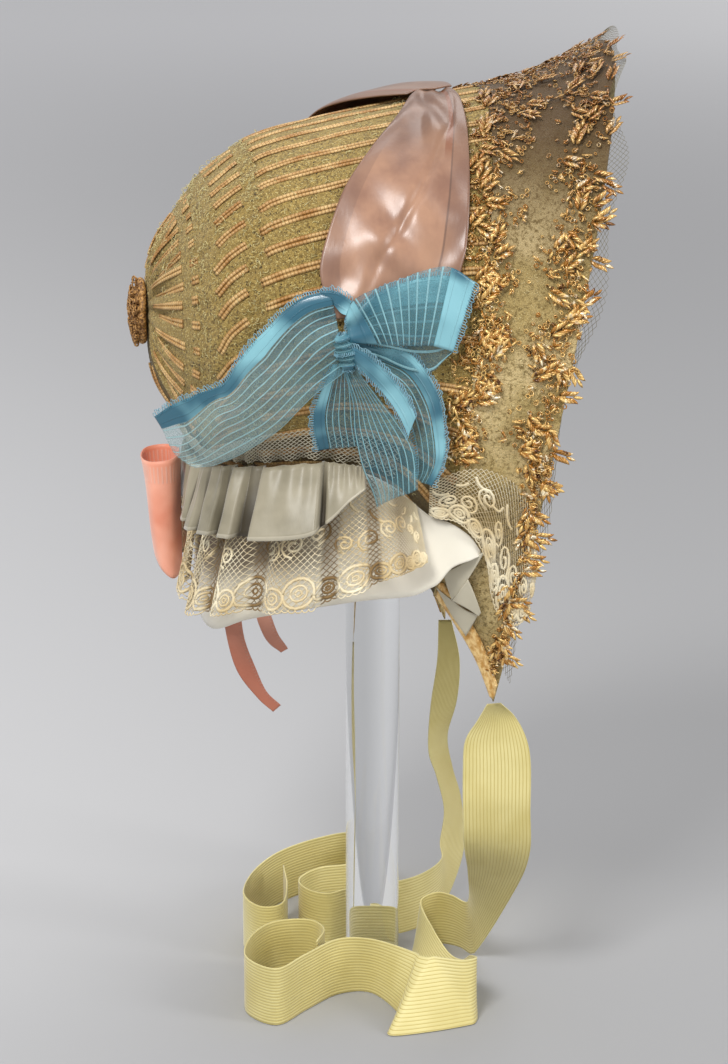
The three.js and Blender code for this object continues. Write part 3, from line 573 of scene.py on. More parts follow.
olive = Finish("olive gold gauze", Sheen_Weight=0.08, Sheen_Roughness=0.5)
fibre = olive.noise(520, 6, rough=0.8)
cloud = olive.noise(30, 4)
grit = olive.noise(1500, 3)
olive_base = olive.mix(olive.ramp(cloud, 0.36, 0.66), tint("#c0a769"), tint("#f0d69c"))
olive_base = olive.mix(olive.ramp(fibre, 0.36, 0.58), tint("#7c6632"), olive_base)
olive_base = olive.mix(olive.ramp(grit, 0.6, 0.7), olive_base, tint("#e8d8a0"))
shaded = olive.ramp(olive.place(2), 0.32, 0.41, 0.95)
olive_base = olive.mix(shaded, olive_base, tint("#4a3006"))
olive.put("Base Color", olive_base)
olive.put("Roughness", 0.75)
open_weave = olive.ramp(fibre, 0.52, 0.66, 0.45)
olive.put("Alpha", olive.math("SUBTRACT", 1.0, open_weave))
olive.bump(olive.math("ADD", fibre, grit), 0.6 * mm)
brim_grid = grid_of(brim_surface, 30, 200)
brim = build("brim_gauze", [cloth(brim_grid, 0.8 * mm)], olive)
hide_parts("brim")
declare(brim_grid)


# Veil net: a strip of fine dark net, knotted from zigzag threads. It is caught under the brim's
# edge and shows past it in scallops.
def facing_of(surface, along, across, last=np.inf):
    """Direction square to a cloth at any places of it."""
    small = 1e-3
    ahead = surface(np.minimum(along + small, last), across) - surface(along - small, across)
    aside = surface(along, np.minimum(across + small, last)) - surface(along, across - small)
    return unit(np.cross(ahead, aside))


def net_threads(surface, length, width, pitch, thread, sides=4, tone=None):
    """Bobbin net over a cloth: zigzag threads that touch their neighbours at each turn."""
    rows = max(int(round(2 * width / pitch)), 2)
    periods = max(int(round(length / pitch)), 3)
    steps = 4 * periods + 1
    along = np.broadcast_to(np.linspace(0, 1, steps), (rows, steps))
    zigzag = np.array([0.0, 0.5, 0.0, -0.5])[np.arange(steps) % 4]
    sign = np.where(np.arange(rows) % 2, -1, 1)[:, None]
    across = (np.arange(rows)[:, None] + 0.5 + 0.94 * sign * zigzag) / rows
    # a thread is straight between its turns, so only they and its two ends are drawn
    turns = np.r_[0, 1:steps:2, steps - 1]
    along, across = along[:, turns], across[:, turns]
    facing = facing_of(surface, along, across, 1)
    shade = tone(along) if tone else None
    return strands(surface(along, across), facing, thread, thread, sides, shade)


veil_reach = 12 * mm
veil_length = 560 * mm


def veil_surface(along, across):
    turn = (2 * along - 1) * 0.94
    ahead = unit(on_bonnet(1.0, turn, 0.0) - on_bonnet(0.98, turn, 0.0))
    scallop = 0.62 + 0.25 * np.sin(turn * 31) + 0.2 * np.sin(turn * 13 + 1)
    out = (veil_reach * scallop * across)[..., None]
    fall = outward(np.full_like(turn, 0.99), turn) * (0.25 * out * np.sin(turn * 23)[..., None])
    return on_bonnet(0.985, turn, brim_wave(0.985, turn)) + ahead * out + fall


net_dark = mottled("dark veil net", "#4d4527", "#8d8257", 300, 2, Roughness=0.8)
veil = net_threads(veil_surface, veil_length, veil_reach, 2.8 * mm, 0.2 * mm, 3)
build("veil_net", [veil], net_dark)

# Straw work: split gold straw, coiled to beads and rings and built up to ears of wheat, sewn to
# the brim in two garlands on each half.
garlands = {
    "back": [
        # way and turn of the back edge, way and turn of the front edge
        [0.755, -0.005, 0.85, -0.005],
        [0.735, -0.1, 0.84, -0.1],
        [0.71, -0.2, 0.81, -0.2],
        [0.699, -0.299, 0.79, -0.287],
        [0.699, -0.412, 0.785, -0.407],
        [0.7, -0.507, 0.785, -0.509],
        [0.719, -0.576, 0.787, -0.582],
        [0.71, -0.646, 0.788, -0.645],
        [0.7, -0.693, 0.777, -0.692],
        [0.695, -0.744, 0.772, -0.742],
        [0.695, -0.786, 0.762, -0.788],
    ],
    "front": [
        [0.87, -0.005, 0.985, -0.005],
        [0.88, -0.11, 0.98, -0.11],
        [0.878, -0.237, 0.985, -0.253],
        [0.871, -0.348, 0.99, -0.378],
        [0.865, -0.446, 0.995, -0.468],
        [0.867, -0.532, 0.995, -0.539],
        [0.857, -0.611, 0.995, -0.603],
        [0.858, -0.672, 0.995, -0.652],
        [0.868, -0.717, 0.995, -0.689],
        [0.929, -0.751, 0.995, -0.729],
        [0.957, -0.789, 0.995, -0.772],
        [0.958, -0.856, 0.995, -0.83],
        [0.947, -0.93, 0.995, -0.89],
        [0.957, -0.97, 0.995, -0.95],
    ],
}


def rows_at(table, share):
    """All columns of a table at a share of its length."""
    numbered = [[i, *row] for i, row in enumerate(table)]
    at = np.asarray(share) * (len(table) - 1)
    return [column(numbered, index + 1, at) for index in range(len(table[0]))]


def between(table, along, across):
    """Way and turn between both edges of a table, and whatever columns follow them."""
    way_a, turn_a, way_b, turn_b, *others = rows_at(table, along)
    return way_a + (way_b - way_a) * across, turn_a + (turn_b - turn_a) * across, *others


def laid(table, relief=None, base=0.0):
    """A cloth over the bonnet, from the way and turn of both edges and its height."""

    def surface(along, across):
        way, turn, high = between(table, along, across)
        height = base + high * mm
        if relief is not None:
            height = height + relief(along, across, way, turn)
        return on_bonnet(way, turn, height)

    return surface


def on_brim(way, turn, stand):
    """A place that stands above the face of the brim."""
    return on_bonnet(way, turn, brim_wave(way, turn) + brim_thickness / 2 + stand)


def straw_rings(way, turn, size, thread, flip):
    """Coiled rings of straw lying at all angles on the brim."""
    normal, side, rise = directions(way, turn)
    lean = draw.uniform(-0.9, 0.9, len(way))[:, None]
    spin = draw.uniform(0, 2 * np.pi, len(way))[:, None]
    flat_a = side * np.cos(spin) + rise * np.sin(spin)
    flat_b = np.cross(normal, flat_a) * np.cos(lean) + normal * np.sin(lean)
    centre = on_brim(way, turn, size * (0.25 + 0.5 * np.abs(np.sin(lean[:, 0]))))
    step = np.linspace(0, 2 * np.pi, 7)[None, :, None]
    ring = flat_a[:, None] * np.cos(step) + flat_b[:, None] * np.sin(step)
    path = centre[:, None] + ring * (size[:, None, None] / 2)
    facing = unit(np.cross(flat_a, flat_b))[:, None]
    return strands(path * flip, facing * flip, thread, 0.7 * thread, 3)


fleck_lift = 1.5 * mm
fleck_width, fleck_thickness = 1.0 * mm, 0.25 * mm


def straw_flecks(way, turn, flip):
    """Short flat slips of split straw between the beads, that catch the light."""
    normal, side, rise = directions(way, turn)
    spin = draw.uniform(0, 2 * np.pi, len(way))[:, None]
    length = draw.uniform(1.8, 4.2, len(way))[:, None, None] * mm
    tilt = draw.uniform(-0.3, 0.5, len(way))[:, None]
    heading = side * np.cos(spin) + rise * np.sin(spin) + normal * tilt
    step = np.array([-0.5, 0.5])[None, :, None]
    path = on_brim(way, turn, fleck_lift)[:, None] + heading[:, None] * step * length
    facing = unit(normal + side * draw.uniform(-0.7, 0.7, len(way))[:, None])[:, None]
    return strands(path * flip, facing * flip, fleck_width, fleck_thickness, 4)


ear_pairs = 4
ear_length = 9.5 * mm
grain_length = 4.2 * mm
grain_width = 1.5 * mm
grain_shape = np.array([0.45, 0.95, 1.0, 0.8, 0.2])
grain_spread = 0.5


def wheat_ears(way, turn, heading, flip, lift=1.2 * mm):
    """Ears of straw wheat: pairs of pointed grains along a stalk, and one at the tip."""
    ahead = unit(on_bonnet(way + 0.01, turn, 0.0) - on_bonnet(way - 0.01, turn, 0.0))
    normal = outward(way, turn)
    aside = unit(np.cross(normal, ahead))
    axis = ahead * np.cos(heading)[:, None] + aside * np.sin(heading)[:, None]
    beside = unit(np.cross(normal, axis))
    root = on_brim(way, turn, lift)
    step = np.linspace(0, 1, len(grain_shape))
    arc = normal[:, None] * 0.5 * mm * np.sin(np.pi * step)[:, None]
    paths = []
    for place in range(ear_pairs + 1):
        for hand in (-1, 1) if place < ear_pairs else (0,):
            start = root + axis * ear_length * (0.1 + 0.62 * place / ear_pairs)
            angle = grain_spread * hand
            grain = axis * math.cos(angle) + beside * math.sin(angle) + normal * 0.22
            start = start + beside * 0.55 * mm * hand
            paths.append(start[:, None] + grain[:, None] * (grain_length * step)[:, None] + arc)
    path = np.concatenate(paths)
    facing = np.tile(normal[:, None], (len(paths), 1, 1))
    wide = np.broadcast_to(grain_width * grain_shape, path.shape[:2])
    return strands(path * flip, facing * flip, wide, 0.32 * wide, 4)


straw = Finish("gold straw", Metallic=0.3, Roughness=0.22, Coat_Weight=0.5, Coat_Roughness=0.12)
tone = straw.across()
stalk = straw.noise(260, 3)
straw_colour = straw.mix(straw.ramp(tone, 0.1, 0.9), tint("#b57a2c"), tint("#f8cf80"))
straw_colour = straw.mix(straw.ramp(stalk, 0.56, 0.68), straw_colour, tint("#fff0cc"))
straw_colour = straw.mix(straw.ramp(stalk, 0.44, 0.32), straw_colour, tint("#5f3812"))
# the straw is coloured darker and browner the higher it lies
darker_higher_up = straw.ramp(straw.place(2), 0.33, 0.43, 0.6)
straw_colour = straw.mix(darker_higher_up, straw_colour, tint("#7d4a1c"))
straw.put("Base Color", straw_colour)
straw.bump(straw.noise(1200, 2), 0.15 * mm)

halves = {"near": np.array([1, 1, 1.0]), "far": np.array([1, -1, 1.0])}
bead_clusters = 46
beads_per_cluster = 24
fleck_share = 0.3
ears_in = {"back": 40, "front": 54}
for name, table in garlands.items():
    for hand, flip in halves.items():
        centres = np.linspace(0.015, 0.985, bead_clusters)
        centres = centres + draw.uniform(-0.012, 0.012, bead_clusters)
        scroll = 0.5 + 0.28 * np.sin(np.arange(bead_clusters) * 1.1)
        along = np.repeat(centres, beads_per_cluster)
        along = np.clip(along + draw.normal(0, 0.016, len(along)), 0.0, 1.0)
        across = np.repeat(scroll, beads_per_cluster) + draw.normal(0, 0.3, len(along))
        way, turn = between(table, along, np.clip(across, -0.3, 1.2))
        way = np.clip(way, 0.69, 0.999)
        size = draw.uniform(1.0, 2.3, len(way)) * mm
        parts = [straw_rings(way, turn, size, 0.7 * mm, flip)]
        flecks = draw.random(len(way)) < fleck_share
        parts.append(straw_flecks(way[flecks], turn[flecks], flip))
        ear_count = ears_in[name]
        along = np.linspace(0.04, 0.97, ear_count) + draw.uniform(-0.012, 0.012, ear_count)
        way, turn = between(table, along, draw.uniform(-0.05, 0.85, ear_count))
        heading = np.where(np.arange(ear_count) % 5 < 2, -0.7, 0.8)
        heading = heading + draw.uniform(-0.5, 0.5, ear_count)
        parts.append(wheat_ears(way, turn, heading, flip))
        made = build(f"straw_work_{name}_{hand}", parts, straw)
        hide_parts(f"straw_{name}_{hand}")

# Ears on the veil: a few more ears of straw, sewn at uneven distances to the net just past the
# edge of the brim.
edge_turns = -np.array([0.06, 0.12, 0.19, 0.25, 0.31, 0.39, 0.45, 0.5, 0.56, 0.63, 0.7, 0.78, 0.86])
edge_headings = np.array([0.2, -0.5, 0.9, -0.2, 0.6, -0.8, 0.4, -0.4, 0.8, -0.6, 0.5, 0.9, 0.7])
edge_ways = np.full(len(edge_turns), 0.988)
edge_parts = [
    wheat_ears(edge_ways, edge_turns, edge_headings, flip, 0.4 * mm) for flip in halves.values()
]
build("veil_straw_ears", edge_parts, straw)

# Cheek braid: a flat three-strand plait of split straw that binds the rear edge of each cheek
# and covers the raw edge of its gauze.
braid_table = [
    [0.752, -0.998, 0.752, -0.955, 1.6],
    [0.83, -0.998, 0.83, -0.955, 1.6],
    [0.91, -0.998, 0.91, -0.957, 1.6],
    [0.995, -0.998, 0.995, -0.962, 1.6],
]
braid_turns = 26
braid_steps = 16 * braid_turns
splint_width, splint_thickness = 2.2 * mm, 0.7 * mm
braid_finish = Finish("plaited straw", Roughness=0.4)
splint = braid_finish.noise(500, 3, (1, 1, 0.5))
bright = braid_finish.ramp(splint, 0.35, 0.62)
braid_finish.put("Base Color", braid_finish.mix(bright, tint("#cf9a4c"), tint("#fbd896")))
braid_finish.bump(splint, 0.12 * mm)
for hand, flip in halves.items():
    braid_parts = []
    along = np.linspace(0, 1, braid_steps)
    for strand in range(3):
        phase = 2 * np.pi * (along * braid_turns + strand / 3)
        way, turn, high = between(braid_table, along, 0.5 + 0.36 * np.sin(phase))
        over_under = brim_wave(way, turn) + 0.45 * mm * np.sin(2 * phase)
        path = on_bonnet(way, turn, high * mm + over_under)
        way, turn, _ = between(braid_table, along, 0.0)
        normal = outward(way, turn)
        path, normal = (path * flip)[None], (normal * flip)[None]
        braid_parts.append(strands(path, normal, splint_width, splint_thickness))
    made = build(f"plaited_braid_{hand}", braid_parts, braid_finish)
    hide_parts(f"cheek_braid_{hand}")

# Silk band: one leaf of mauve silk on each side, pleated together at the top and under the bow,
# and spread smooth over the side of the crown with its selvedge forward.
silk_rows = [
    [0.622, -0.03, 0.685, -0.028, 1.2],
    [0.6, -0.09, 0.693, -0.09, 1.2],
    [0.575, -0.15, 0.697, -0.19, 0.8],
    [0.526, -0.229, 0.697, -0.277, 0.4],
    [0.47, -0.325, 0.697, -0.393, 0.2],
    [0.434, -0.419, 0.696, -0.456, 0.2],
    [0.418, -0.487, 0.69, -0.511, 0.2],
    [0.43, -0.546, 0.664, -0.566, 0.0],
    [0.45, -0.585, 0.56, -0.592, 0.0],
]
silk_base = on_crown + 0.6 * mm + 0.9 * mm


def silk_relief(along, across, way, turn):
    """Pleats that run out of both ends, and soft dents between them."""
    top = np.exp(-((along / 0.34) ** 2))
    low = np.exp(-(((1 - along) / 0.36) ** 2))
    pleat = 0.7 * top * np.sin(across * 15 - along * 3)
    pleat = pleat + 0.6 * low * np.sin(across * 17 + 1 + 2 * along)
    rolls = np.sin(along * 28 + 2.2 * np.sin(across * 6))
    rolls = rolls * (0.6 + 0.4 * np.sin(across * 9 + along * 7))
    slack = 1.05 * rolls + 0.5 * np.sin(along * 6 + across * 8)
    slack = slack + 0.35 * np.sin(along * 41 - across * 17)
    crease = -1.4 * np.exp(-(((across - 1.0 + 0.8 * along) / 0.04) ** 2)) * np.sin(np.pi * along)
    edge = np.sin(np.pi * np.clip(across, 0, 1)) ** 0.4
    return (pleat + slack + crease) * edge * mm


silk = Finish("mauve silk", Roughness=0.36, Sheen_Weight=0.03, Sheen_Roughness=0.35)
silk.put("Specular IOR Level", 0.85)
water = silk.noise(34, 4, (1, 1, 0.6))
slub = silk.noise(700, 2, (1, 1, 0.12))
silk_colour = silk.mix(silk.ramp(water, 0.32, 0.68), tint("#875f4a"), tint("#b28669"))
# painted shade: the top of each leaf is coloured dark brown, fading out down its length
shade_on_top = silk.ramp(silk.along(), 8.0, 3.5, 0.6)
silk_colour = silk.mix(shade_on_top, silk_colour, tint("#4d2f1a"))
selvedges = ((0.835, 0.845), (0.14, 0.13))
strips = [silk.ramp(silk.across(), inner, outer, 0.35) for inner, outer in selvedges]
silk_colour = silk.mix(silk.math("MAXIMUM", *strips), silk_colour, tint("#6f5040"))
front_line = silk.band(silk.across(), 0.825, 0.85, 0.01, 0.6)
silk_colour = silk.mix(front_line, silk_colour, tint("#4b3328"))
# painted shade: a reddish-brown strip in the fold beside the front selvedge, in the upper part of
# the leaf
shade_in_fold = silk.band(silk.across(), 0.76, 0.835, 0.005, 0.7)
shade_in_fold = silk.math("MULTIPLY", shade_in_fold, silk.ramp(silk.along(), 6.5, 5.5))
silk_colour = silk.mix(shade_in_fold, silk_colour, tint("#7d4526"))
silk.put("Base Color", silk_colour)
silk.bump(slub, 0.05 * mm)
silk_surface = laid(silk_rows, silk_relief, silk_base)
far_rows = [
    [0.612, 0.03, 0.69, 0.03, 1.6],
    [0.53, -0.04, 0.693, -0.06, 1.4],
    [0.485, -0.1, 0.695, -0.12, 1.2],
    [0.46, -0.17, 0.697, -0.2, 1.0],
    [0.45, -0.26, 0.697, -0.3, 0.8],
    [0.44, -0.36, 0.697, -0.4, 0.5],
    [0.43, -0.45, 0.695, -0.47, 0.3],
    [0.43, -0.546, 0.664, -0.566, 0.0],
    [0.45, -0.585, 0.56, -0.592, 0.0],
]
far_puff = 4.2 * mm


def far_relief(along, across, way, turn):
    bulge = np.sin(np.pi * np.clip(across, 0, 1)) ** 0.7
    rise = far_puff * np.exp(-(((along - 0.3) / 0.22) ** 2)) * bulge
    low = np.exp(-(((1 - along) / 0.3) ** 2))
    pleat = 0.9 * mm * low * np.sin(across * 19 + 1)
    return rise + (0.5 * mm * np.sin(along * 9 + across * 7) + pleat) * bulge


for hand in ("near", "far"):
    silk_grid = grid_of(silk_surface, 90, 54)
    if hand == "far":
        silk_grid = grid_of(laid(far_rows, far_relief, silk_base), 90, 54)
        silk_grid = (silk_grid * [1, -1, 1])[:, ::-1]
    piece = build(f"silk_leaf_{hand}", [cloth(silk_grid, 0.6 * mm)], silk)
    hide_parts(f"silk_band_{hand}")
    declare(silk_grid)

# Blue bow: sheer teal ribbon with opaque lengthwise lines, satin borders and a looped picot edge.
# It is folded, and tied by a knot over the end of the silk band: one loop, a fold and three tails.
bow_pieces = {
    # way and turn of the upper edge, way and turn of the lower edge, height in millimetres
    "loop_under": [
        [0.466, -0.591, 0.469, -0.633, 5.5],
        [0.526, -0.551, 0.536, -0.654, 6.0],
        [0.609, -0.534, 0.600, -0.674, 6.4],
        [0.671, -0.539, 0.644, -0.675, 7.0],
        [0.705, -0.582, 0.680, -0.655, 8.5],
    ],
    "loop": [
        [0.467, -0.579, 0.473, -0.626, 8.5],
        [0.482, -0.556, 0.532, -0.632, 12.5],
        [0.519, -0.544, 0.557, -0.634, 14.0],
        [0.565, -0.534, 0.582, -0.637, 11.5],
        [0.606, -0.525, 0.606, -0.638, 13.5],
        [0.659, -0.523, 0.636, -0.640, 13.0],
        [0.714, -0.549, 0.683, -0.652, 9.5],
    ],
    "petal": [
        [0.417, -0.528, 0.443, -0.557, 6.5],
        [0.449, -0.536, 0.457, -0.574, 8.5],
        [0.477, -0.558, 0.467, -0.580, 9.5],
    ],
    "fold": [
        [0.467, -0.623, 0.471, -0.655, 4.2],
        [0.535, -0.640, 0.548, -0.688, 5.0],
        [0.597, -0.652, 0.593, -0.722, 6.0],
        [0.657, -0.695, 0.613, -0.754, 7.5],
        [0.683, -0.735, 0.633, -0.782, 9.5],
        [0.697, -0.772, 0.649, -0.812, 11.5],
        [0.685, -0.818, 0.651, -0.827, 12.5],
    ],
    "tail_back": [
        [0.437, -0.532, 0.469, -0.668, 6.2],
        [0.391, -0.532, 0.447, -0.682, 6.2],
        [0.355, -0.546, 0.419, -0.699, 6.4],
        [0.315, -0.571, 0.387, -0.728, 6.8],
        [0.281, -0.589, 0.355, -0.761, 7.6],
        [0.250, -0.614, 0.320, -0.782, 9.5],
        [0.209, -0.589, 0.289, -0.800, 12.5],
        [0.179, -0.619, 0.257, -0.795, 17.0],
        [0.158, -0.665, 0.232, -0.764, 21.0],
    ],
    "tail_short": [
        [0.445, -0.655, 0.475, -0.655, 3.6],
        [0.418, -0.724, 0.491, -0.730, 3.8],
        [0.413, -0.773, 0.499, -0.776, 4.4],
        [0.429, -0.844, 0.512, -0.826, 5.2],
    ],
    "tail_front": [
        [0.462, -0.652, 0.482, -0.655, 8.0],
        [0.487, -0.721, 0.541, -0.717, 9.0],
        [0.498, -0.783, 0.588, -0.753, 11.0],
        [0.529, -0.853, 0.635, -0.785, 14.0],
        [0.587, -0.908, 0.662, -0.828, 18.0],
    ],
    "band": [
        [0.452, -0.622, 0.478, -0.647, 9.0],
        [0.502, -0.640, 0.506, -0.670, 11.0],
        [0.548, -0.668, 0.545, -0.702, 12.5],
        [0.593, -0.703, 0.582, -0.734, 14.0],
        [0.620, -0.732, 0.612, -0.765, 15.0],
    ],
}
bow_cut = {
    # steps along, share of the ribbon's width shown, folds, their depth, whether the ribbon runs
    # from the upper edge to the lower one
    "loop_under": (50, (0.0, 0.5), 2, 0.9, False),
    "loop": (110, (0.0, 1.0), 3, 0.8, True),
    "petal": (40, (0.0, 0.14), 2, 0.5, False),
    "fold": (90, (0.0, 0.42), 3, 1.0, False),
    "tail_back": (110, (0.0, 0.8), 4, 0.9, False),
    "tail_short": (50, (0.0, 0.55), 3, 0.4, False),
    "tail_front": (80, (0.16, 0.84), 5, 0.7, False),
    "band": (60, (0.0, 0.14), 1, 0.8, False),
}
bow_nodes = ("loop", "fold", "tail_back", "tail_short", "tail_front")
picot_thread = 0.34 * mm


def ribbon_folds(size, waves):
    """Small lengthwise folds, deepest where the ribbon runs into the knot."""

    def relief(along, across, way, turn):
        near_knot = np.exp(-((along / 0.25) ** 2))
        return size * mm * (0.35 + near_knot) * np.sin(across * waves * np.pi + 2 * along)

    return relief


def picot(grid, edge, pitch, reach, thread):
    """A row of small loops of thread standing out of one long edge of a ribbon."""
    line = grid[:, edge]
    inner = grid[:, 1 if edge == 0 else -2]
    length = np.concatenate([[0], np.cumsum(np.linalg.norm(np.diff(line, axis=0), axis=-1))])
    count = max(int(length[-1] / pitch), 2)
    at = (np.arange(count) + 0.5) * length[-1] / count

    def along_line(points, where):
        return np.stack([np.interp(where, length, points[:, k]) for k in range(3)], axis=-1)

    out = unit(along_line(line, at) - along_line(inner, at))
    ahead = unit(along_line(line, at + 0.3 * mm) - along_line(line, at - 0.3 * mm))
    facing = unit(np.cross(out, ahead))
    size = reach * draw.uniform(0.55, 1.25, count)[:, None, None]
    step = np.linspace(-0.6, np.pi + 0.6, 8)[None, :, None]
    lean = draw.normal(0, 0.25, count)[:, None, None]
    loop = out[:, None] * (np.sin(step) + 0.2) * size + facing[:, None] * lean * size
    loop = loop + ahead[:, None] * np.cos(step) * 0.62 * pitch
    path = along_line(line, at)[:, None] + loop
    return strands(path, facing[:, None], thread, thread, 4)


blue = Finish("blue gauze ribbon", Sheen_Weight=0.1, Specular_IOR_Level=0.7)
side_share = blue.across()
borders = [blue.ramp(side_share, *sides) for sides in ((0.155, 0.145), (0.845, 0.855))]
border = blue.math("ADD", *borders)
cord_line = blue.ramp(blue.lines(side_share, 0.078), 0.9, 0.97)
shade = blue.noise(40, 3)
sheer = blue.mix(blue.ramp(shade, 0.35, 0.65), tint("#3a7382"), tint("#5f9ca8"))
# painted sheen and shade: the satin borders are coloured in blotches from dark teal to pale teal
satin = blue.mix(blue.ramp(blue.noise(30, 2), 0.4, 0.6), tint("#2c6478"), tint("#8ac4cf"))
blue_colour = blue.mix(cord_line, sheer, tint("#8fc0c8"))
# the ribbon is coloured paler towards the back of the bonnet
paler_at_back = blue.ramp(blue.place(0), -0.02, -0.075, 0.6)
blue_colour = blue.mix(paler_at_back, blue_colour, tint("#b6cfcb"))
blue_colour = blue.mix(border, blue_colour, satin)
blue.put("Base Color", blue_colour)
blue.put("Roughness", blue.math("SUBTRACT", 0.5, blue.math("MULTIPLY", border, 0.24)))
grain = blue.noise(1500, 2)
veil_alpha = blue.math("ADD", 0.2, blue.ramp(grain, 0.35, 0.75, 0.25))
solid_share = blue.math("MAXIMUM", blue.math("MULTIPLY", cord_line, 0.5), border)
opacity = blue.math("MINIMUM", blue.math("ADD", veil_alpha, solid_share), 1.0)
blue.put("Alpha", opacity)
blue.bump(blue.math("ADD", cord_line, blue.math("MULTIPLY", grain, 0.3)), 0.15 * mm)
blue_thread = mottled(
    "blue picot thread", "#3f8099", "#9ccbd9", 300, 2, Roughness=0.5, Sheen_Weight=0.4
)
for name, table in bow_pieces.items():
    steps, span, waves, depth, runs_down = bow_cut[name]
    grid = grid_of(laid(table, ribbon_folds(depth, waves)), steps, 28)
    if runs_down:
        grid = grid.transpose(1, 0, 2)
    made = build(f"blue_{name}", [cloth(grid, 0.3 * mm, span)], blue)
    looped = {0: span[0] == 0, -1: span[1] == 1 or name in ("band", "fold")}
    edges = [picot(grid, e, 1.1 * mm, 1.7 * mm, picot_thread) for e in looped if looped[e]]
    edging = [build(f"picot_{name}", edges, blue_thread)] if edges else []
    if name in bow_nodes:
        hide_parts(f"bow_{name}")
    declare(grid)

# The knot: the same ribbon drawn tight round the middle of the bow, its borders rucked together
# and its looped edge caught in the folds.
knot_way, knot_turn = 0.468, -0.638
knot_along, knot_across, knot_high = 3.6 * mm, 7.5 * mm, 5.2 * mm
knot_normal = outward(np.array(knot_way), np.array(knot_turn))
knot_ahead = on_bonnet(knot_way + 0.01, knot_turn, 0.0) - on_bonnet(knot_way, knot_turn, 0.0)
knot_ahead = unit(knot_ahead - knot_normal * (knot_ahead @ knot_normal))
knot_side = np.cross(knot_normal, knot_ahead)
knot_middle = on_bonnet(knot_way, knot_turn, on_crown + knot_high)


def knot_surface(along, across):
    wrap = 2 * np.pi * along
    spread = 2 * across - 1
    ruck = 1 + 0.16 * np.sin(spread * 17 + 1.3 * np.sin(wrap)) + 0.06 * np.sin(spread * 41)
    taper = np.sqrt(np.clip(1 - 0.72 * spread**2, 0, 1)) * ruck
    return (
        knot_middle
        + knot_ahead * (np.cos(wrap) * taper * knot_along * 1.12)[..., None]
        + knot_side * (spread * knot_across * (1 + 0.05 * np.sin(wrap * 2)))[..., None]
        + knot_normal * (np.sin(wrap) * taper * knot_high)[..., None]
    )


knot_grid = grid_of(knot_surface, 44, 60)
knot = build("blue_knot", [cloth(knot_grid, 0.4 * mm)], blue)
knot_edges = [picot(knot_grid, e, 0.8 * mm, 1.0 * mm, 0.26 * mm) for e in (0, -1, 30)]
knot_edging = build("picot_knot", knot_edges, blue_thread)
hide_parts("bow_knot")
declare(knot_grid)

# Net band: grey-cream bobbin net run on a thread round the neck of the crown, with the frill
# sewn over its lower edge.
def both_sides(table, along):
    """Columns of a neck trim: the near half as the table has it, the far half its mirror."""
    far = along > 0.5
    columns = rows_at(table, 2 * np.where(far, 1 - along, along))
    return far, columns


net_rows = [
    [0.6, -0.8, 0.6, -0.885],
    [0.45, -0.8, 0.45, -0.885],
    [0.32, -0.79, 0.32, -0.882],
    [0.24, -0.8, 0.25, -0.88],
    [0.17, -0.83, 0.2, -0.885],
    [0.125, -0.9, 0.18, -0.93],
    [0.12, -1.0, 0.168, -1.0],
]


def measure(grid):
    """Mean length and width of a grid of cloth."""
    length = np.linalg.norm(np.diff(grid, axis=0), axis=-1).sum(axis=0).mean()
    width = np.linalg.norm(np.diff(grid, axis=1), axis=-1).sum(axis=1).mean()
    return length, width


def net_surface(along, across):
    """The band lies on the crown, and is rucked where its thread draws it in."""
    far, (way_a, turn_a, way_b, turn_b) = both_sides(net_rows, along)
    turn = turn_a + (turn_b - turn_a) * across
    way = way_a + (way_b - way_a) * across
    ruck = 0.5 * mm * (1 - across) * np.sin(along * 150)
    ruck = ruck + 0.9 * mm * across**2 * np.sin(along * 210)
    return on_bonnet(way, np.where(far, -turn, turn), on_crown + ruck + 0.5 * mm)


grey_net = mottled(
    "grey cream net", "#b5ab90", "#e0d9c2", 120, 3, Roughness=0.85, Sheen_Weight=0.2
)
net_grid = grid_of(net_surface, 160, 10)
net_parts = [net_threads(net_surface, *measure(net_grid), 2.0 * mm, 0.5 * mm)]
piece = build("neck_net", net_parts, grey_net)
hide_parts("net_band")
declare(net_grid)


# Ivory curtain: a plain strip of ivory silk, sewn round the neck edge of crown and cheeks, that
# hangs over the nape and shows below the lace.
neck_middle = -10 * mm
neck_flare = 20 * mm
neck_length = 60 * mm


def hung(table, lift, fold):
    """Cloth hanging from a line on the crown, spreading outward as it falls."""

    def surface(along, across):
        far, (way, turn, out, length) = both_sides(table, along)
        top = on_bonnet(way, np.where(far, -turn, turn), lift)
        radial = top - np.array([neck_middle, 0, 0])
        radial[..., 2] = 0
        radial = unit(radial)
        down = (length * neck_length * across)[..., None] * np.array([0, 0, -1.0])
        return top + radial * (out * neck_flare * across + fold(along, across))[..., None] + down

    return surface


def from_nape(along):
    return np.minimum(1, np.abs(along - 0.5) * 9)


curtain_rows = [
    # way, turn, out, down
    [0.84, -0.858, 0.02, 0.03],
    [0.8, -0.855, 0.1, 0.17],
    [0.735, -0.863, 0.25, 0.33],
    [0.68, -0.885, 0.45, 0.52],
    [0.6, -0.905, 0.62, 0.78],
    [0.45, -0.905, 0.6, 1.0],
    [0.32, -0.91, 0.48, 1.1],
    [0.25, -0.92, 0.42, 1.22],
    [0.208, -0.95, 0.2, 1.1],
    [0.19, -1.0, 0.0, 1.0],
]
curtain_lift = on_crown + 0.6 * mm
lace_lift = curtain_lift + 0.6 * mm + 2 * seat + 0.45 * mm
frill_lift = lace_lift + 0.45 * mm + seat + 0.6 * mm

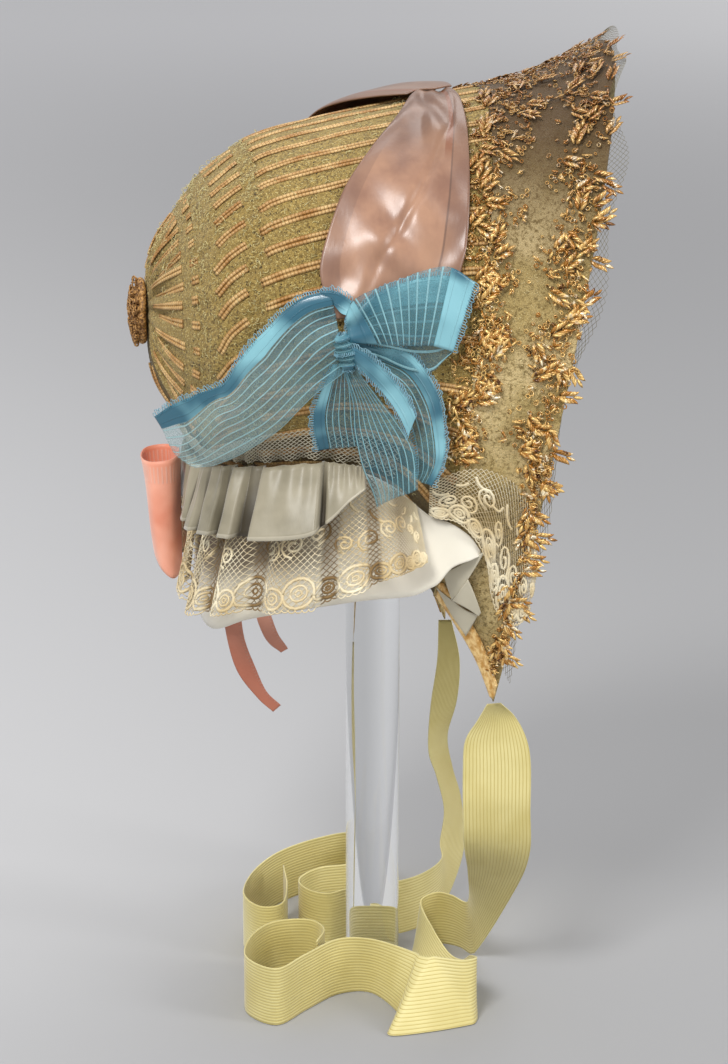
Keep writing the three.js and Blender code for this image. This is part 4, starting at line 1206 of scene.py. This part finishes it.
ivory = Finish("ivory silk", Roughness=0.42, Sheen_Weight=0.4, Sheen_Roughness=0.4)
ivory.put("Specular IOR Level", 0.5)
ivory_cloud = ivory.noise(22, 4)
ivory_grain = ivory.noise(900, 2, (1, 1, 0.2))
ivory_colour = ivory.mix(ivory.ramp(ivory_cloud, 0.3, 0.7), tint("#7c7560"), tint("#aaa18a"))
hem = ivory.ramp(ivory.across(), 0.94, 0.95, 0.5)
ivory_colour = ivory.mix(hem, ivory_colour, tint("#d4ccb6"))
# painted shade: the frill is coloured dark deep between two pleats
shade_between_pleats = ivory.ramp(ivory.along(), 0.9, 0.1)
ivory_colour = ivory.mix(shade_between_pleats, ivory_colour, tint("#3a3222"))
ivory.put("Base Color", ivory_colour)
ivory.bump(ivory_grain, 0.05 * mm)


def curtain_fold(along, across):
    wave = np.sin(along * 10 * np.pi) - 1 + 0.5 * np.sin(along * 47)
    wave = wave + 0.25 * np.sin(along * 83 + across)
    return 0.8 * mm * across * wave


under_lace = Finish("ivory silk in shade", Roughness=0.45, Sheen_Weight=0.3, Sheen_Roughness=0.4)
curtain_surface = hung(curtain_rows, curtain_lift, curtain_fold)
curtain_length = 100 * measure(grid_of(curtain_surface, 320, 8))[0]
# painted shade: the curtain is coloured dark brown where the lace hangs over it, away from both its
# ends
shade_under_lace = under_lace.ramp(under_lace.across(), 0.76, 0.6, 0.78)
from_end = under_lace.math("SUBTRACT", curtain_length, under_lace.along())
from_end = under_lace.math("MINIMUM", from_end, under_lace.along())
shade_under_lace = under_lace.math("MULTIPLY", shade_under_lace, under_lace.ramp(from_end, 6.0, 9.0))
plain_silk = under_lace.mix(under_lace.noise(22, 4), tint("#e6dec8"), tint("#faf5e8"))
under_lace.put("Base Color", under_lace.mix(shade_under_lace, plain_silk, tint("#6b5430")))
curtain_grid = grid_of(curtain_surface, 240, 18)
piece = build("ivory_curtain", [cloth(curtain_grid, 0.5 * mm)], under_lace)
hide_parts("curtain")
declare(curtain_grid)

# Lace flounce: cream bobbin lace, a net ground with rings and scrolls worked in thick thread and
# a scalloped edge, gathered in deep folds over the curtain.
lace_rows = [
    [0.66, -0.885, 0.7, 0.36],
    [0.6, -0.9, 0.9, 0.55],
    [0.45, -0.9, 1.0, 0.9],
    [0.32, -0.905, 0.9, 0.95],
    [0.25, -0.915, 0.72, 1.0],
    [0.208, -0.945, 0.32, 0.85],
    [0.19, -1.0, 0.06, 0.72],
]
lace_pleats = [
    # first and last place along each half, softness of both sides, depth in millimetres
    (0.06, 0.112, 0.04, 0.006, 2.5),
    (0.118, 0.152, 0.012, 0.006, 5.0),
    (0.163, 0.226, 0.006, 0.022, 9.0),
    (0.234, 0.29, 0.01, 0.02, 8.0),
    (0.3, 0.35, 0.01, 0.02, 7.0),
    (0.362, 0.41, 0.01, 0.02, 5.5),
    (0.424, 0.47, 0.014, 0.014, 3.0),
]


def box_pleats(table, along):
    """How far pleats stand out, from their places on one half; the other is its mirror."""
    near = np.minimum(along, 1 - along)
    height = np.zeros_like(near)
    for first, last, soft_first, soft_last, depth in table:
        rise = np.clip((near - first) / soft_first, 0, 1)
        drop = np.clip((last - near) / soft_last, 0, 1)
        shape = rise**2 * (3 - 2 * rise) * drop**2 * (3 - 2 * drop)
        height = np.maximum(height, depth * mm * shape)
    return height


def lace_fold(along, across):
    ripple = 0.4 * mm * np.sin(along * 190 + 3 * across) * across
    return box_pleats(lace_pleats, along) * (0.35 + 0.75 * across) * from_nape(along) + ripple


def motif_curve(kind, size):
    """One lace motif as a thread's path, in millimetres about its middle."""
    t = np.linspace(0, 1, 18)
    if kind == "ring":
        return size * np.cos(2 * np.pi * t), size * np.sin(2 * np.pi * t)
    if kind == "scroll":
        turn = 0.5 * np.pi + 3.4 * np.pi * t
        return size * (1.15 - t) * np.cos(turn), size * (1.15 - t) * np.sin(turn)
    leaf = np.sin(np.pi * t)
    return size * (2 * t - 1), 0.42 * size * leaf * np.sign(np.sin(2 * np.pi * t) + 1.01)


def lace_parts(surface, length, width, seed, pitch=2.5 * mm, thread=0.55 * mm, tone=np.ones_like):
    """Net ground, worked motifs and a scalloped edge over one surface."""
    pick = np.random.default_rng(seed)
    parts = [net_threads(surface, length, width, pitch, thread, 3, tone)]
    paths = []
    columns = int(length / (9 * mm))
    for k in range(columns):
        x = (k + 0.5) / columns
        low = 5.4 if k % 2 else 3.8
        for radius in (low, 0.52 * low, 0.2 * low):
            paths.append((x, 1 - (low + 0.6) * mm / width, *motif_curve("ring", radius)))
        high = pick.uniform(0.35, 0.62)
        spin = pick.choice([-1, 1])
        cx, cy = motif_curve("scroll", pick.uniform(3.4, 5.0))
        paths.append((x + 0.4 / columns, high, spin * cx, cy))
        cx, cy = motif_curve("leaf", pick.uniform(3.0, 4.4))
        lean = pick.uniform(-1.2, 1.2)
        cos, sin = math.cos(lean), math.sin(lean)
        paths.append((x, pick.uniform(0.12, 0.4), cx * cos - cy * sin, cx * sin + cy * cos))
    along = np.stack([x + cx * mm / length for x, _, cx, _ in paths])
    across = np.stack([y + cy * mm / width for _, y, _, cy in paths])
    along, across = np.clip(along, 0.001, 0.998), np.clip(across, 0.01, 1.04)
    facing = facing_of(surface, along, across)
    wide = np.array([1.7, 1.2, 0.9, 1.2, 1.3] * columns)[:, None] * mm
    parts.append(strands(surface(along, across), facing, wide, 0.5 * mm, 4, tone(along)))
    loops = int(length / (2.2 * mm))
    step = np.linspace(0, np.pi, 7)[None]
    x = (np.arange(loops)[:, None] + 0.5 + 0.5 * np.cos(step)) / loops
    scallop = 0.02 * np.abs(np.sin(x * columns * np.pi / 2))
    y = 0.985 + scallop + np.sin(step) * 1.1 * mm / width
    facing = facing_of(surface, x, y)
    parts.append(strands(surface(x, y), facing, 0.6 * mm, 0.4 * mm, 4, tone(x)))
    return parts


cream = Finish("cream lace thread", Roughness=0.85, Sheen_Weight=0.25)
cream_tone = cream.noise(45, 3)
cream_colour = cream.mix(cream.ramp(cream_tone, 0.3, 0.7), tint("#d6be8c"), tint("#fbf0d0"))
# painted shade: lace threads deep between two folds are coloured dark brown
lit_share = cream.ramp(cream.across(), 0.0, 0.75)
cream.put("Base Color", cream.mix(lit_share, tint("#8a6e42"), cream_colour))
cream.bump(cream.noise(1600, 3), 0.2 * mm)


def lace_light(along):
    """1 on the folds that stand out and in front of them, 0 deep between two folds."""
    near = np.minimum(along, 1 - along)
    return np.maximum(box_pleats(lace_pleats, along) / (4 * mm), 1 - near / 0.11).clip(0, 1)


lace_surface = hung(lace_rows, lace_lift, lace_fold)
lace_grid = grid_of(lace_surface, 500, 20)
parts = lace_parts(lace_surface, *measure(lace_grid), seed=5, tone=lace_light)
piece = build("lace_fall", parts, cream)
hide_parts("lace_flounce")
declare(lace_grid)

# Silk frill: ivory silk in box pleats over the head of the lace; the foremost pleat stands open
# and turns up towards the cheek.
frill_rows = [
    [0.53, -0.872, 0.4, 0.12],
    [0.5, -0.872, 0.5, 0.22],
    [0.43, -0.872, 0.6, 0.47],
    [0.32, -0.872, 0.54, 0.48],
    [0.25, -0.87, 0.44, 0.47],
    [0.205, -0.91, 0.27, 0.42],
    [0.185, -1.0, 0.07, 0.38],
]
frill_pleats = [
    # first and last place along each half, softness of both sides, depth in millimetres
    (0.0, 0.143, 0.01, 0.004, 2.4),
    (0.153, 0.241, 0.003, 0.004, 8.5),
    (0.262, 0.293, 0.004, 0.008, 6.5),
    (0.303, 0.345, 0.006, 0.01, 6.0),
    (0.36, 0.39, 0.008, 0.01, 5.0),
    (0.404, 0.432, 0.008, 0.01, 4.0),
    (0.448, 0.478, 0.008, 0.01, 2.6),
]


def frill_fold(along, across):
    head = np.sin(along * 230) * (1 - across) ** 2 * 1.1 * mm
    crease = 0.9 * mm * np.sin(along * 90 + 5 * across) * (1 - across) * across * 2
    box = box_pleats(frill_pleats, along) * (0.55 + 0.45 * across)
    return box * from_nape(along) + head + crease + 0.4 * mm


def frill_light(along, across):
    """1 on the pleats that stand out and at the head of the frill, 0 deep between two pleats."""
    light = box_pleats(frill_pleats, along) / (3 * mm) + 0.6 * (1 - across)
    return np.where(np.minimum(along, 1 - along) < 0.14, 1, light).clip(0, 1)


frill_grid = grid_of(hung(frill_rows, frill_lift, frill_fold), 480, 14)
points, faces, flat = cloth(frill_grid, 0.5 * mm)
# the frill's finish reads how far a pleat stands out in place of the length, and paints shade deep
# between two pleats
flat[:, 1] = np.tile(grid_of(frill_light, 480, 14).ravel(), 2)
piece = build("ivory_frill", [(points, faces, flat)], ivory)
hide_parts("silk_frill")
declare(frill_grid)

# Cheek lace: the flounce's lace carried forward over each cheek, flat on the brim, and a little
# past its edge.
cheek_rows = [
    [0.676, -0.825, 0.69, -0.872, 3.2],
    [0.73, -0.79, 0.745, -0.85, 3.0],
    [0.79, -0.768, 0.8, -0.845, 2.6],
    [0.85, -0.758, 0.86, -0.855, 1.8],
    [0.9, -0.755, 0.895, -0.882, 0.6],
    [0.95, -0.76, 0.94, -0.888, 0.2],
    [1.0, -0.775, 1.0, -0.87, 0.2],
    [1.035, -0.8, 1.035, -0.85, 0.2],
]


def cheek_relief(along, across, way, turn):
    return brim_wave(way, turn) + 0.5 * mm * across * (1 + np.sin(along * 30))


cheek_surface = laid(cheek_rows, cheek_relief, brim_thickness / 2 + seat + 0.6 * mm)
cheek_grid = grid_of(cheek_surface, 90, 20)
cheek_parts = lace_parts(cheek_surface, *measure(cheek_grid), seed=9, thread=0.42 * mm)
for hand, flip in (("near", 1), ("far", -1)):
    parts = [
        (points * [1, flip, 1], [group[:, ::flip] for group in faces], flat)
        for points, faces, flat in cheek_parts
    ]
    piece = build(f"lace_cheek_{hand}", parts, cream)
    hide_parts(f"cheek_lace_{hand}")
    declare(cheek_grid * [1, flip, 1])

# Folded ends: the curtain's silk ends on each cheek in three small folds, laid flat on the brim
# and caught inside the braid.
fold_pieces = {
    # way and turn of both edges, height in millimetres
    "silk_end": [
        [0.752, -0.937, 0.851, -0.850, 3.6],
        [0.775, -0.947, 0.831, -0.894, 4.6],
        [0.800, -0.956, 0.809, -0.944, 4.8],
    ],
    "silk_turn": [
        [0.801, -0.955, 0.827, -0.902, 5.4],
        [0.843, -0.939, 0.856, -0.910, 5.2],
        [0.881, -0.927, 0.884, -0.920, 4.6],
    ],
    "silk_tip": [
        [0.743, -0.974, 0.799, -0.963, 2.8],
        [0.803, -0.982, 0.844, -0.948, 3.0],
        [0.863, -0.982, 0.877, -0.932, 2.6],
    ],
}
plain_ivory = mottled("plain ivory silk", "#b2aa92", "#ddd5be", 22, 4, Roughness=0.45)
plain_ivory.put("Sheen Weight", 0.3)
plain_ivory.put("Sheen Roughness", 0.4)
for hand, flip in (("near", 1), ("far", -1)):
    for name, table in fold_pieces.items():
        grid = (grid_of(laid(table), 24, 16) * [1, flip, 1])[:, ::flip]
        made = build(f"{name}_{hand}", [cloth(grid, 0.5 * mm)], plain_ivory)
        if name == "silk_end":
            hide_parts(f"cheek_fold_{hand}")
        declare(grid, outline=outline_of(grid))


# Coral ribbon: a wide soft loop standing open at the nape and two cut tails under the curtain,
# with drawn-thread lines along the selvedge.
tie_spread = 100 * mm
floor_gap = 0.4 * mm


def free_cloth(table, relief):
    """A ribbon hanging free: rows of both its edges, as shares of the spread of the ties."""

    def surface(along, across):
        ax, ay, az, bx, by, bz = rows_at(table, along)
        lowest = floor_gap / tie_spread
        start = np.stack([ax, ay, np.maximum(az, lowest)], axis=-1) * tie_spread
        end = np.stack([bx, by, np.maximum(bz, lowest)], axis=-1) * tie_spread
        points = start + (end - start) * across[..., None]
        return points + square_to(points) * relief(along, across)[..., None]

    return surface


def soft_creases(depth):
    """Shallow creases over a ribbon that run out at both its ends; depth in millimetres."""
    return lambda u, v: depth * mm * np.sin(v * 4 + u * 9) * np.sin(np.pi * u)


nape_pieces = {
    # lower edge x, y, z and upper edge x, y, z, shares of the tie spread
    "nape_loop": [
        [-0.885, -0.03, 1.98, -0.885, -0.03, 2.53],
        [-0.93, -0.1, 1.96, -0.94, -0.115, 2.52],
        [-0.98, -0.09, 2.0, -1.03, -0.1, 2.51],
        [-1.0, 0.0, 2.06, -1.065, 0.0, 2.51],
        [-0.98, 0.09, 2.04, -1.03, 0.1, 2.53],
        [-0.93, 0.1, 2.0, -0.94, 0.115, 2.54],
        [-0.885, 0.03, 2.0, -0.885, 0.03, 2.54],
    ],
    "nape_tail_long": [
        [-0.738, -0.463, 1.98, -0.67, -0.507, 2.0],
        [-0.725, -0.48, 1.8, -0.65, -0.5, 1.8],
        [-0.68, -0.48, 1.63, -0.6, -0.48, 1.65],
        [-0.59, -0.48, 1.5, -0.55, -0.48, 1.53],
        [-0.52, -0.48, 1.43, -0.485, -0.48, 1.46],
    ],
    "nape_tail_short": [
        [-0.635, -0.6, 2.04, -0.585, -0.64, 2.06],
        [-0.57, -0.57, 1.82, -0.51, -0.6, 1.84],
        [-0.49, -0.55, 1.73, -0.46, -0.56, 1.75],
    ],
}
nape_cut = {
    # steps along and across, depth of the creases, how it is held
    "nape_loop": (80, 30, 0.7, "folded"),
    "nape_tail_long": (48, 12, 0.3, "hung"),
    "nape_tail_short": (48, 12, 0.3, "hung"),
}
coral = Finish("coral silk", Roughness=0.5, Sheen_Weight=0.35, Sheen_Roughness=0.4)
coral_cloud = coral.noise(30, 3)
coral_colour = coral.mix(coral.ramp(coral_cloud, 0.3, 0.7), tint("#ec9172"), tint("#ffb89c"))
drawn = coral.band(coral.across(), 0.8, 0.96, 0.02)
ladder = coral.math("MULTIPLY", drawn, coral.ramp(coral.lines(coral.along(), 0.16), 0.6, 0.8))
coral_colour = coral.mix(coral.math("MULTIPLY", ladder, 0.55), coral_colour, tint("#f3c0ab"))
in_shade = coral.ramp(coral.place(2), 0.2, 0.18, 0.7)
coral_colour = coral.mix(in_shade, coral_colour, tint("#8f5440"))
coral.put("Base Color", coral_colour)
coral.bump(coral.math("ADD", coral.noise(900, 2), ladder), 0.12 * mm)
for name, table in nape_pieces.items():
    rows, columns, depth, held = nape_cut[name]
    grid = grid_of(free_cloth(table, soft_creases(depth)), rows, columns)
    piece = build(name.replace("nape", "coral"), [cloth(grid, 0.5 * mm)], coral)
    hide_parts(name)
    declare(grid)

# Ties: long strings of yellow corded ribbon, gathered at the point of each cheek. They hang to
# the floor and stand there on edge in loose curls round the post.
tie_width = 29 * mm
tie_ribs = 19
rib_depth = 0.12 * mm
lowest_point = 0.3 * mm
near_hanging = [
    [0.425, -0.655, 1.48, 0.485, -0.65, 1.48],
    [0.385, -0.64, 1.4, 0.56, -0.62, 1.4],
    [0.33, -0.63, 1.3, 0.61, -0.63, 1.3],
    [0.32, -0.64, 1.16, 0.63, -0.64, 1.18],
    [0.32, -0.65, 0.98, 0.63, -0.65, 0.96],
    [0.335, -0.6, 0.79, 0.64, -0.6, 0.73],
    [0.39, -0.4, 0.58, 0.61, -0.41, 0.47],
]
near_path = [
    # x, y, and where it isn't the usual one the height of the top edge and the lean
    [0.48, -0.06, 1.0, 0.1],
    [0.42, 0.06, 0.98, 0.15],
    [0.32, 0.1, 0.98, 0.1],
    [0.215, 0.04, 0.9, 0.1],
    [0.165, -0.14, 0.7, 0.35],
    [0.175, -0.36, 0.5, 0.5],
    [0.25, -0.52, 0.55, 0.45],
    [0.33, -0.6, 0.8, 0.2],
    [0.38, -0.7, 0.96, 0.0],
]
near_fold = [
    # x, y, z of the top edge and of the bottom edge, where the ribbon is folded over itself
    [0.31, -0.71, 0.275, 0.36, -0.8, 0.004],
    [0.2, -0.67, 0.28, 0.31, -0.83, 0.004],
    [0.18, -0.665, 0.28, 0.14, -0.87, 0.004],
    [0.165, -0.66, 0.275, -0.04, -0.885, 0.004],
    [0.13, -0.63, 0.272, -0.03, -0.8, 0.004],
    [0.1, -0.58, 0.275, 0.03, -0.68, 0.004],
]
near_curl = [
    [-0.06, -0.42, 0.97, 0.05],
    [-0.22, -0.41], [-0.39, -0.56], [-0.54, -0.7], [-0.66, -0.55], [-0.62, -0.33], [-0.5, -0.17],
    [-0.33, -0.16], [-0.27, -0.28], [-0.32, -0.42],
]
far_hanging = [
    [0.425, 0.655, 1.48, 0.485, 0.65, 1.48],
    [0.415, 0.63, 1.28, 0.525, 0.63, 1.28],
    [0.385, 0.64, 1.04, 0.52, 0.66, 1.06],
    [0.375, 0.64, 0.81, 0.49, 0.76, 0.84],
    [0.42, 0.66, 0.66, 0.53, 0.84, 0.64],
    [0.46, 0.66, 0.48, 0.58, 0.85, 0.45],
    [0.43, 0.6, 0.33, 0.58, 0.78, 0.2],
]
far_path = [
    [0.42, 0.5], [0.3, 0.33], [0.15, 0.24], [-0.06, 0.2], [-0.2, 0.14], [-0.295, 0.22],
    [-0.31, 0.35], [-0.2, 0.47], [-0.05, 0.5], [0.08, 0.58], [0.13, 0.76], [0.03, 0.92],
    [-0.17, 0.86], [-0.38, 0.7], [-0.53, 0.46], [-0.6, 0.2], [-0.54, 0.03], [-0.43, 0.05],
    [-0.38, 0.28], [-0.37, 0.52],
]
usual_stand = (0.97, 0.0)


def standing(path):
    """Both edges of a ribbon that stands on the floor along a path."""
    rows = []
    for i, (x, y, *stand) in enumerate(path):
        high, lean = stand or usual_stand
        before, after = path[max(i - 1, 0)], path[min(i + 1, len(path) - 1)]
        way = Vector((after[0] - before[0], after[1] - before[1])).normalized()
        shift, top = lean * tie_width / tie_spread, high * tie_width / tie_spread
        rows.append([x - way.y * shift, y + way.x * shift, top, x, y, floor_gap / tie_spread])
    return rows


yellow = Finish("yellow corded ribbon", Roughness=0.5, Sheen_Weight=0.35, Sheen_Roughness=0.4)
rib = yellow.lines(yellow.across(), 1 / tie_ribs, 0.8)
yellow_cloud = yellow.noise(20, 3)
yellow_colour = yellow.mix(yellow.ramp(yellow_cloud, 0.3, 0.7), tint("#d3c47c"), tint("#e9dd9c"))
yellow_colour = yellow.mix(yellow.ramp(rib, 0.3, 0.0), yellow_colour, tint("#c2ad62"))
yellow.put("Base Color", yellow_colour)
grain = yellow.math("MULTIPLY", yellow.noise(1500, 2), 0.25)
yellow.bump(yellow.math("ADD", rib, grain), rib_depth)


def ribs(along, across):
    return rib_depth * np.cos(2 * np.pi * tie_ribs * across)


for name, rows, steps in (
    ("near", near_hanging + standing(near_path) + near_fold + standing(near_curl), 260),
    ("far", far_hanging + standing(far_path), 210),
):
    grid = grid_of(free_cloth(rows, ribs), steps, 2 * tie_ribs + 1)
    grid[..., 2] = np.maximum(grid[..., 2], lowest_point)
    piece = build(f"yellow_tie_{name}", [cloth(grid, 0.5 * mm)], yellow)
    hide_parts(f"tie_{name}")
    declare(grid, width=tie_width)

# Studio: a pale grey floor that runs to the back of the view, soft light from the upper left and
# a weaker one from the right, and the camera at the height and angle of the photograph.
floor_mesh = bpy.data.meshes.new("floor")
reach = 40.0
floor_corners = [(-reach, -reach, 0), (reach, -reach, 0), (reach, reach, 0), (-reach, reach, 0)]
floor_mesh.from_pydata(floor_corners, [], [(0, 1, 2, 3)])
floor = bpy.data.objects.new("floor", floor_mesh)
bpy.context.scene.collection.objects.link(floor)
paper = Finish("studio paper", Roughness=0.95, Specular_IOR_Level=0.1)
floor_x, floor_y = paper.place(0), paper.place(1)
square_x, square_y = [paper.math("MULTIPLY", value, value) for value in (floor_x, floor_y)]
from_post = paper.math("SQRT", paper.math("ADD", square_x, square_y))
# painted light and shade: the floor is coloured lighter towards the back and far to the right,
# lighter near on the left, and darker in front
behind = paper.ramp(from_post, 0.4, 6.0)
near_left = paper.ramp(floor_x, 0.35, -0.3)
front = paper.mix(near_left, tint("#a3a3a4"), tint("#c0c0c1"))
front = paper.mix(paper.ramp(floor_y, 0.25, -0.2, 0.5), front, tint("#989899"))
front = paper.mix(paper.math("MULTIPLY", paper.noise(1.2, 2), 0.1), front, tint("#a0a0a1"))
far_right = paper.ramp(floor_x, 0.3, 4.0)
far_paper = paper.mix(far_right, tint("#d9d9db"), tint("#ffffff"))
paper.put("Base Color", paper.mix(behind, front, far_paper))
floor.data.materials.append(paper.material)


def soft_light(name, place, size, power):
    data = bpy.data.lights.new(name, "AREA")
    data.shape = "RECTANGLE"
    data.size, data.size_y = size
    data.energy = power
    light = bpy.data.objects.new(name, data)
    light.location = place
    aim = Vector((0, 0, 220 * mm)) - Vector(place)
    light.rotation_euler = aim.to_track_quat("-Z", "Y").to_euler()
    bpy.context.scene.collection.objects.link(light)


soft_light("key", (-0.8, -1.2, 1.7), (0.6, 0.6), 26)
soft_light("fill", (1.6, -0.9, 0.9), (0.5, 1.0), 12)
soft_light("top", (0.2, 0.9, 1.9), (1.4, 0.8), 10)
world = bpy.data.worlds.new("studio")
bpy.context.scene.world = world
world.use_nodes = True
world.node_tree.nodes["Background"].inputs["Color"].default_value = (0.84, 0.84, 0.85, 1)
world.node_tree.nodes["Background"].inputs["Strength"].default_value = 0.8

view_target = Vector((-4 * mm, 0, 212 * mm))
view_azimuth, view_height, view_distance = math.radians(-8), math.radians(15), 1.25
view_back = Vector(
    (
        math.sin(view_azimuth) * math.cos(view_height),
        -math.cos(view_azimuth) * math.cos(view_height),
        math.sin(view_height),
    )
)
camera_data = bpy.data.cameras.new("camera")
# the focal length and the height of the view, both in pixels of the photograph
view_focal, view_tall = 2706.8, 1064
camera_data.sensor_width = 36
camera_data.lens = camera_data.sensor_width * view_focal / view_tall
camera = bpy.data.objects.new("camera", camera_data)
camera.location = view_target + view_back * view_distance
camera.rotation_euler = (-view_back).to_track_quat("-Z", "Y").to_euler()
bpy.context.scene.collection.objects.link(camera)
bpy.context.scene.camera = camera
bpy.context.scene.view_settings.view_transform = "Standard"
